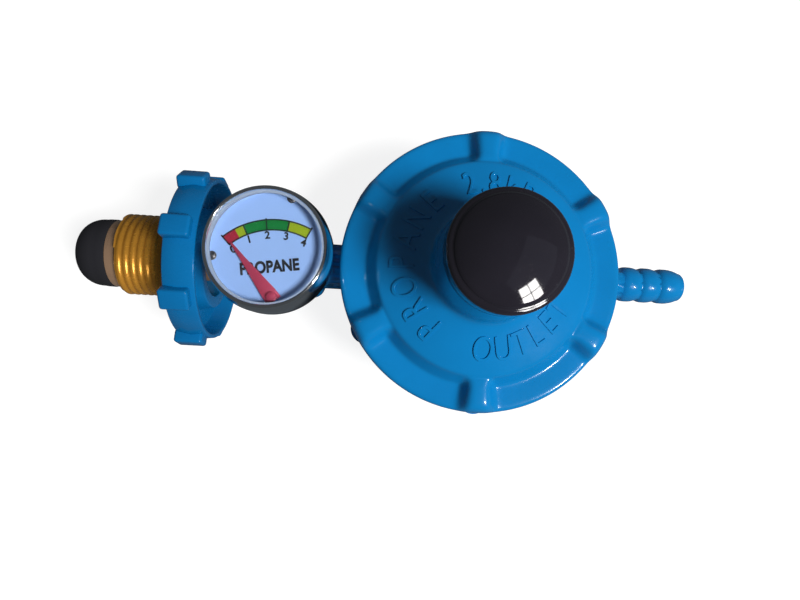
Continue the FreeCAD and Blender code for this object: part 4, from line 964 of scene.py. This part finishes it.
# ---------------------------------------------------------------- inlet
@dataclass
class Inlet:
    """The cylinder connection: sealing nose, polished collar, left-hand thread and lobed hand wheel."""

    axis_height: float = 13.0
    thread_major: float = 11.24
    thread_minor: float = 10.88
    thread_pitch: float = 1.814
    gas_way: float = 2.5
    journal: float = 6.2
    journal_end: float = -71.0
    spanner_flats: float = 14.0
    tail_radius: float = 5.98
    nut_bore: float = 6.28
    nut_flats: float = 20.0
    shank: float = 10.2
    thread_back: float = -84.3
    wheel_phase: float = 11.0
    web: float = -77.4
    hub: float = 13.6
    hub_hole: float = 10.4
    hub_end: float = -73.3
    lobes: int = 8
    lobe_width: float = 5.6
    lobe_root: float = 20.95
    lobe_top: float = 24.6
    lobe_length: float = 7.4
    facets: int = 144

    @property
    def centre(self) -> Point:
        """The inlet line over the row's origin."""
        return (0.0, 0.0, self.axis_height)

    def turned(self, name: str, profile: Profile, steps: int = 96, ring: bool = True) -> bpy.types.Object:
        """A piece turned about the inlet line, its profile given as (x, radius)."""
        return Bench.lathe(name, profile, Axis.INLET, self.centre, steps, ring)

    def hexagon(self, name: str, flats: float, length: float, middle: float, turn: float = 0.0) -> bpy.types.Object:
        """A hexagonal bar on the inlet line, from its width over flats, its length and the x of its middle."""
        Bench.clear()
        bpy.ops.mesh.primitive_cylinder_add(vertices=6, radius=flats / math.sqrt(3) * MM, depth=length * MM,
                                            location=(middle * MM, 0.0, self.axis_height * MM),
                                            rotation=(math.radians(30.0 - turn), math.pi / 2, 0.0))
        bar = Bench.name(bpy.context.object, name)
        Bench.settle(bar)
        return bar

    def build_nose(self) -> None:
        """Turns the soft nose and the polished collar behind it."""
        tip, seat = (corner.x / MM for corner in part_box("nose_seal"))
        profile = [(tip, self.gas_way)] + arc_points((tip + 0.3, 3.6), (seat - 3.0, 9.25), 1.75, 14)
        profile += [(seat - 2.2, 9.36), (seat - 0.35, 9.4), (seat - 0.02, 9.25), (seat - 0.02, 6.1), (tip + 5.0, 4.6),
                    (tip + 5.0, self.gas_way)]
        nose = self.turned("soft_nose", profile)
        stand_in(nose, "housing", RUBBER, "nose_seal", crease=40.0)
        profile = [(tip + 5.0, self.gas_way), (tip + 5.0, 4.6), (seat - 0.02, 6.0), (seat - 0.02, 9.1),
                   (seat + 0.15, 9.28), (seat + 2.3, 9.3)]
        profile += arc_points((seat + 2.5, 9.28), (seat + 3.4, 8.1), 0.2, 5)
        profile += [(seat + 3.68, 6.8), (seat + 3.7, self.journal), (self.journal_end, self.journal),
                    (self.journal_end, self.gas_way)]
        journal = self.turned("journal", profile, 128)
        tail = self.turned("tail", [(-66.1, self.gas_way), (-66.1, self.tail_radius), (-61.0, self.tail_radius),
                                    (-60.3, 5.2), (-60.3, self.gas_way)], 64)
        flats = self.hexagon("flats", self.spanner_flats, 4.96, -68.5)
        Bench.soften(flats, 0.3, 2, 50.0)
        nipple = Bench.join("nipple_and_collar", [journal, tail, flats])
        stand_in(nipple, "housing", COLLAR_BRASS, "inlet_nipple", crease=40.0)

    def build_nut(self) -> None:
        """Turns the gland, winds its left-hand thread and trims it to the cone in front."""
        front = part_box("union_nut")[0].x / MM
        start = front - 2.0
        depth = self.thread_major - self.thread_minor
        wave = [(0.0, 0.0), (0.08, 0.04), (0.26, 0.62), (0.36, 0.93), (0.46, 1.0), (0.54, 1.0), (0.64, 0.93),
                (0.74, 0.62), (0.92, 0.04), (1.0, 0.0)]
        thread = Bench.draw("thread", [(start + self.thread_pitch * along, 0.0, self.thread_minor + depth * high)
                                       for along, high in wave])
        Bench.modify(thread, "SCREW", axis="X", angle=-FULL_TURN, screw_offset=self.thread_pitch * MM, iterations=10,
                     steps=72, render_steps=72, use_merge_vertices=True, merge_threshold=WELD,
                     use_normal_calculate=True)
        thread.location.z = self.axis_height * MM
        Bench.settle(thread)
        for at, side in ((front - 0.5, -1.0), (self.thread_back + 0.1, 1.0)):
            Bench.edit(thread)
            bpy.ops.mesh.remove_doubles(threshold=1.5 * WELD)
            bpy.ops.mesh.select_all(action="SELECT")
            bpy.ops.mesh.bisect(plane_co=(at * MM, 0.0, 0.0), plane_no=(side, 0.0, 0.0), use_fill=True,
                                clear_outer=True)
            Bench.clean_in_edit()
        envelope = self.turned("envelope", [(front, 0.0), (front, 9.35), (front + 0.15, 9.7), (front + 1.3, 10.55),
                                            (front + 2.6, 11.05), (front + 3.6, 11.22), (-85.0, 11.22),
                                            (self.thread_back, 10.6), (self.thread_back, 0.0)],
                               self.facets, ring=False)
        Bench.combine(thread, envelope, "INTERSECT")
        bore = self.turned("bore", [(front - 1.0, 0.0), (front - 1.0, self.nut_bore), (-83.0, self.nut_bore),
                                    (-83.0, 0.0)], 96, ring=False)
        Bench.combine(thread, bore, "DIFFERENCE")
        core = self.turned("core", [(-84.35, self.nut_bore), (-84.35, 10.05), (-84.15, self.shank),
                                    (-80.0, self.shank), (-80.0, self.nut_bore)], 128)
        hexagon = self.hexagon("hexagon", self.nut_flats, 4.0, -78.6, self.wheel_phase)
        bore = self.turned("bore", [(-84.0, 0.0), (-84.0, self.nut_bore), (-70.0, self.nut_bore), (-70.0, 0.0)], 64,
                           ring=False)
        Bench.combine(hexagon, bore, "DIFFERENCE")
        Bench.soften(hexagon, 0.25, 2, 50.0)
        nut = Bench.join("threaded_gland", [thread, core, hexagon])
        stand_in(nut, "union", THREAD_BRASS, "union_nut", crease=38.0)

    def build_wheel(self) -> None:
        """Turns the cup, pulls the grip lobes out of its rim and rounds every edge."""
        lobe_front, back = (corner.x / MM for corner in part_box("hand_wheel"))
        front = lobe_front + 0.5
        profile = [(front, self.hub_hole), (front, 15.5), (front + 0.35, 16.0), (front + 0.35, 19.2), (front, 19.7),
                   (front, 21.9), (-76.6, 22.7), (back - 1.4, 22.35), (back, 22.2), (back, 21.2), (back - 1.6, 20.6),
                   (self.web, 19.8), (self.web, 14.4), (self.hub_end, self.hub), (self.hub_end, self.hub_hole)]
        wheel = self.turned("lobed_wheel", profile, self.facets)
        Bench.soften(wheel, 0.3, 3, 32.0)
        blocks = []
        for index in range(self.lobes):
            turn = math.radians(self.wheel_phase + 360.0 / self.lobes * index)
            reach = (self.lobe_root + self.lobe_top) / 2
            Bench.clear()
            bpy.ops.mesh.primitive_cube_add(size=1.0, location=(
                (lobe_front + self.lobe_length / 2) * MM, reach * math.sin(turn) * MM,
                (self.axis_height + reach * math.cos(turn)) * MM))
            block = Bench.name(bpy.context.object, "lobe")
            block.scale = (self.lobe_length * MM, self.lobe_width * MM, (self.lobe_top - self.lobe_root) * MM)
            block.rotation_euler.x = -turn
            Bench.settle(block)
            Bench.soften(block, 0.8, 4, 50.0)
            blocks.append(block)
        wheel = Bench.join("lobed_wheel", [wheel, *blocks])
        stand_in(wheel, "union", MOULDING, "hand_wheel", crease=36.0)

    def build(self) -> None:
        """Makes every piece of the inlet."""
        self.build_nose()
        self.build_nut()
        self.build_wheel()


# ---------------------------------------------------------------- studio
@dataclass
class Studio:
    """The pale floor, the window light with its panes, the soft fills and the camera."""

    camera_at: Point = (-28.76, -21.50, 167.85)
    lens: float = 24.4
    polished: tuple[str, ...] = ("cap_dome", "nipple_and_collar", "threaded_gland")
    enamelled: tuple[str, ...] = ("bonnet_casting", "lower_casting", "raised_lettering", "lobed_wheel", "rolled_bezel")

    def build_floor(self) -> None:
        """Lays a pale floor under the lowest point of the object."""
        Bench.clear()
        lowest = cad_box[0].z - 0.0002
        bpy.ops.mesh.primitive_plane_add(size=6.0, location=(0.0, 0.0, lowest))
        floor = Bench.name(bpy.context.object, "pale_floor")
        made, weave = bare_material("pale_floor")
        place = weave.node("ShaderNodeTexCoord").outputs["Object"]
        grain = weave.node("ShaderNodeTexNoise", {"Vector": place, "Scale": 40.0, "Detail": 3.0}).outputs["Fac"]
        tone = weave.blend(weave.spread(grain, 0.3, 0.7, 0.0, 1.0), (0.48, 0.48, 0.48, 1.0), (0.52, 0.52, 0.52, 1.0))
        bare = weave.node("ShaderNodeBsdfPrincipled", {"Base Color": tone, "Roughness": 0.9})
        lit = weave.node("ShaderNodeBsdfPrincipled", {
            "Base Color": (0.25, 0.25, 0.25, 1.0), "Roughness": 0.9, "Specular IOR Level": 0.0,
            "Emission Color": (1.0, 1.0, 1.0, 1.0), "Emission Strength": 0.86})
        dark = weave.node("ShaderNodeBsdfPrincipled", {"Base Color": (0.07, 0.08, 0.09, 1.0), "Roughness": 0.9})
        rays = weave.node("ShaderNodeLightPath").outputs
        mirrored = weave.node("ShaderNodeMixShader", {
            0: rays["Is Glossy Ray"], 1: bare.outputs[0], 2: dark.outputs[0]})
        mix = weave.node("ShaderNodeMixShader", {
            0: rays["Is Camera Ray"], 1: mirrored.outputs[0], 2: lit.outputs[0]})
        weave.node("ShaderNodeOutputMaterial", {"Surface": mix.outputs[0]})
        floor.data.materials.append(made)

    @staticmethod
    def gather(name: str, pieces: Sequence[str]) -> bpy.types.Collection:
        """A set of named pieces that a lamp treats in its own way."""
        made = bpy.data.collections.new(name)
        for piece in pieces:
            made.objects.link(bpy.data.objects[piece])
        return made

    def lamp(self, name: str, azimuth: float, elevation: float, distance: float, size: tuple[float, float],
             radiance: float, colour: tuple[float, float, float] = (1.0, 1.0, 1.0), seen: bool = True,
             shift: tuple[float, float] = (0.0, 0.0), mirrors: Sequence[str] = (), bright: bool = True,
             passes: Sequence[str] = ()) -> None:
        """Adds a rectangular soft light that looks at the object.

        Args:
            name: Its name.
            azimuth: The direction it stands in, in degrees from +X towards +Y.
            elevation: Its height angle, in degrees.
            distance: How far away it is, in metres.
            size: Its width and height, in metres.
            radiance: How bright its face is.
            colour: Its colour.
            seen: Whether glossy surfaces mirror it.
            shift: How far it is moved sideways and upwards in its own plane, in metres.
            mirrors: The only pieces that it lights, where it does not light all.
            bright: Whether it lights matt surfaces, too.
            passes: The pieces that cast no shadow from it.
        """
        data = bpy.data.lights.new(name, "AREA")
        data.shape = "RECTANGLE"
        data.size, data.size_y = size
        data.energy = radiance * math.pi * size[0] * size[1]
        data.color = colour
        lamp = bpy.data.objects.new(name, data)
        turn, rise = math.radians(azimuth), math.radians(elevation)
        away = Vector((math.cos(turn) * math.cos(rise), math.sin(turn) * math.cos(rise), math.sin(rise)))
        target = Vector((0.0, 0.0, 0.04))
        lamp.rotation_euler = away.to_track_quat("Z", "Y").to_euler()
        across = Vector((-math.sin(turn), math.cos(turn), 0.0))
        lamp.location = target + away * distance + across * shift[0] + away.cross(across) * shift[1]
        lamp.visible_glossy = seen
        lamp.visible_diffuse = bright
        bpy.context.scene.collection.objects.link(lamp)
        if mirrors:
            lamp.light_linking.receiver_collection = self.gather(f"lit_by_{name}", mirrors)
        if passes:
            through = self.gather(f"passed_by_{name}", passes)
            for entry in through.collection_objects:
                entry.light_linking.link_state = "EXCLUDE"
            lamp.light_linking.blocker_collection = through

    def build_lights(self) -> None:
        """A high soft key on the right, a window of four panes low on the near right, and a dim room."""
        self.lamp("key", -25.0, 55.0, 1.2, (0.36, 0.36), 50.0, (1.0, 0.99, 0.97), seen=False,
                  passes=("rolled_bezel", "pressed_case"))
        self.lamp("glint", -30.0, 50.0, 1.2, (0.10, 0.14), 120.0, mirrors=self.enamelled, bright=False)
        self.lamp("far_wall", -20.0, 48.0, 1.8, (2.4, 1.6), 0.09, (0.75, 0.82, 1.0), mirrors=("cap_dome",),
                  bright=False)
        for column, row in ((-1, -1), (1, -1), (-1, 1), (1, 1)):
            self.lamp(f"window_pane_{column}_{row}", -47.0, 31.0, 1.4, (0.27, 0.29), 20.0, (1.0, 0.98, 0.96),
                      shift=(0.15 * column, 0.16 * row), mirrors=self.polished)
        world = bpy.data.worlds.new("room")
        world.use_nodes = True
        weave = Weaver(world.node_tree)
        world.node_tree.nodes.clear()
        dim = weave.node("ShaderNodeBackground", {"Color": (0.85, 0.92, 1.0, 1.0), "Strength": 0.08})
        white = weave.node("ShaderNodeBackground", {"Color": (1.0, 1.0, 1.0, 1.0), "Strength": 1.0})
        seen = weave.node("ShaderNodeLightPath").outputs["Is Camera Ray"]
        mix = weave.node("ShaderNodeMixShader", {0: seen, 1: dim.outputs[0], 2: white.outputs[0]})
        weave.node("ShaderNodeOutputWorld", {"Surface": mix.outputs[0]})
        bpy.context.scene.world = world

    def build_camera(self) -> None:
        """Sets the camera over the object, as close as a hand-held view."""
        columns = ((0.99703244, -0.0582382, -0.05034507), (0.05389215, 0.99502836, -0.08375085),
                   (0.05497228, 0.08078911, 0.99521413))
        data = bpy.data.cameras.new("view_from_above")
        data.sensor_width = 36.0
        data.lens = self.lens
        data.clip_start = 0.005
        data.clip_end = 20.0
        camera = bpy.data.objects.new("view_from_above", data)
        camera.matrix_world = Matrix.Translation(Vector(self.camera_at) * MM) @ Matrix(columns).to_4x4()
        bpy.context.scene.collection.objects.link(camera)
        bpy.context.scene.camera = camera

    def build(self) -> None:
        """Makes the whole studio."""
        self.build_floor()
        self.build_lights()
        self.build_camera()
        bpy.context.scene.view_settings.view_transform = "Standard"


def main() -> None:
    """Dresses every CAD node, then builds the object's visible pieces and the studio."""
    logging.basicConfig(level=logging.INFO, format="%(message)s")
    for name, node in frame["nodes"].items():
        dress(node, NODE_FINISHES[name])
    for part in (Castings(), Cap(), Gauge(), Inlet(), Studio()):
        part.build()
        LOG.info("%s done", type(part).__name__)
    Bench.clear()


if __name__ == "__main__":
    main()
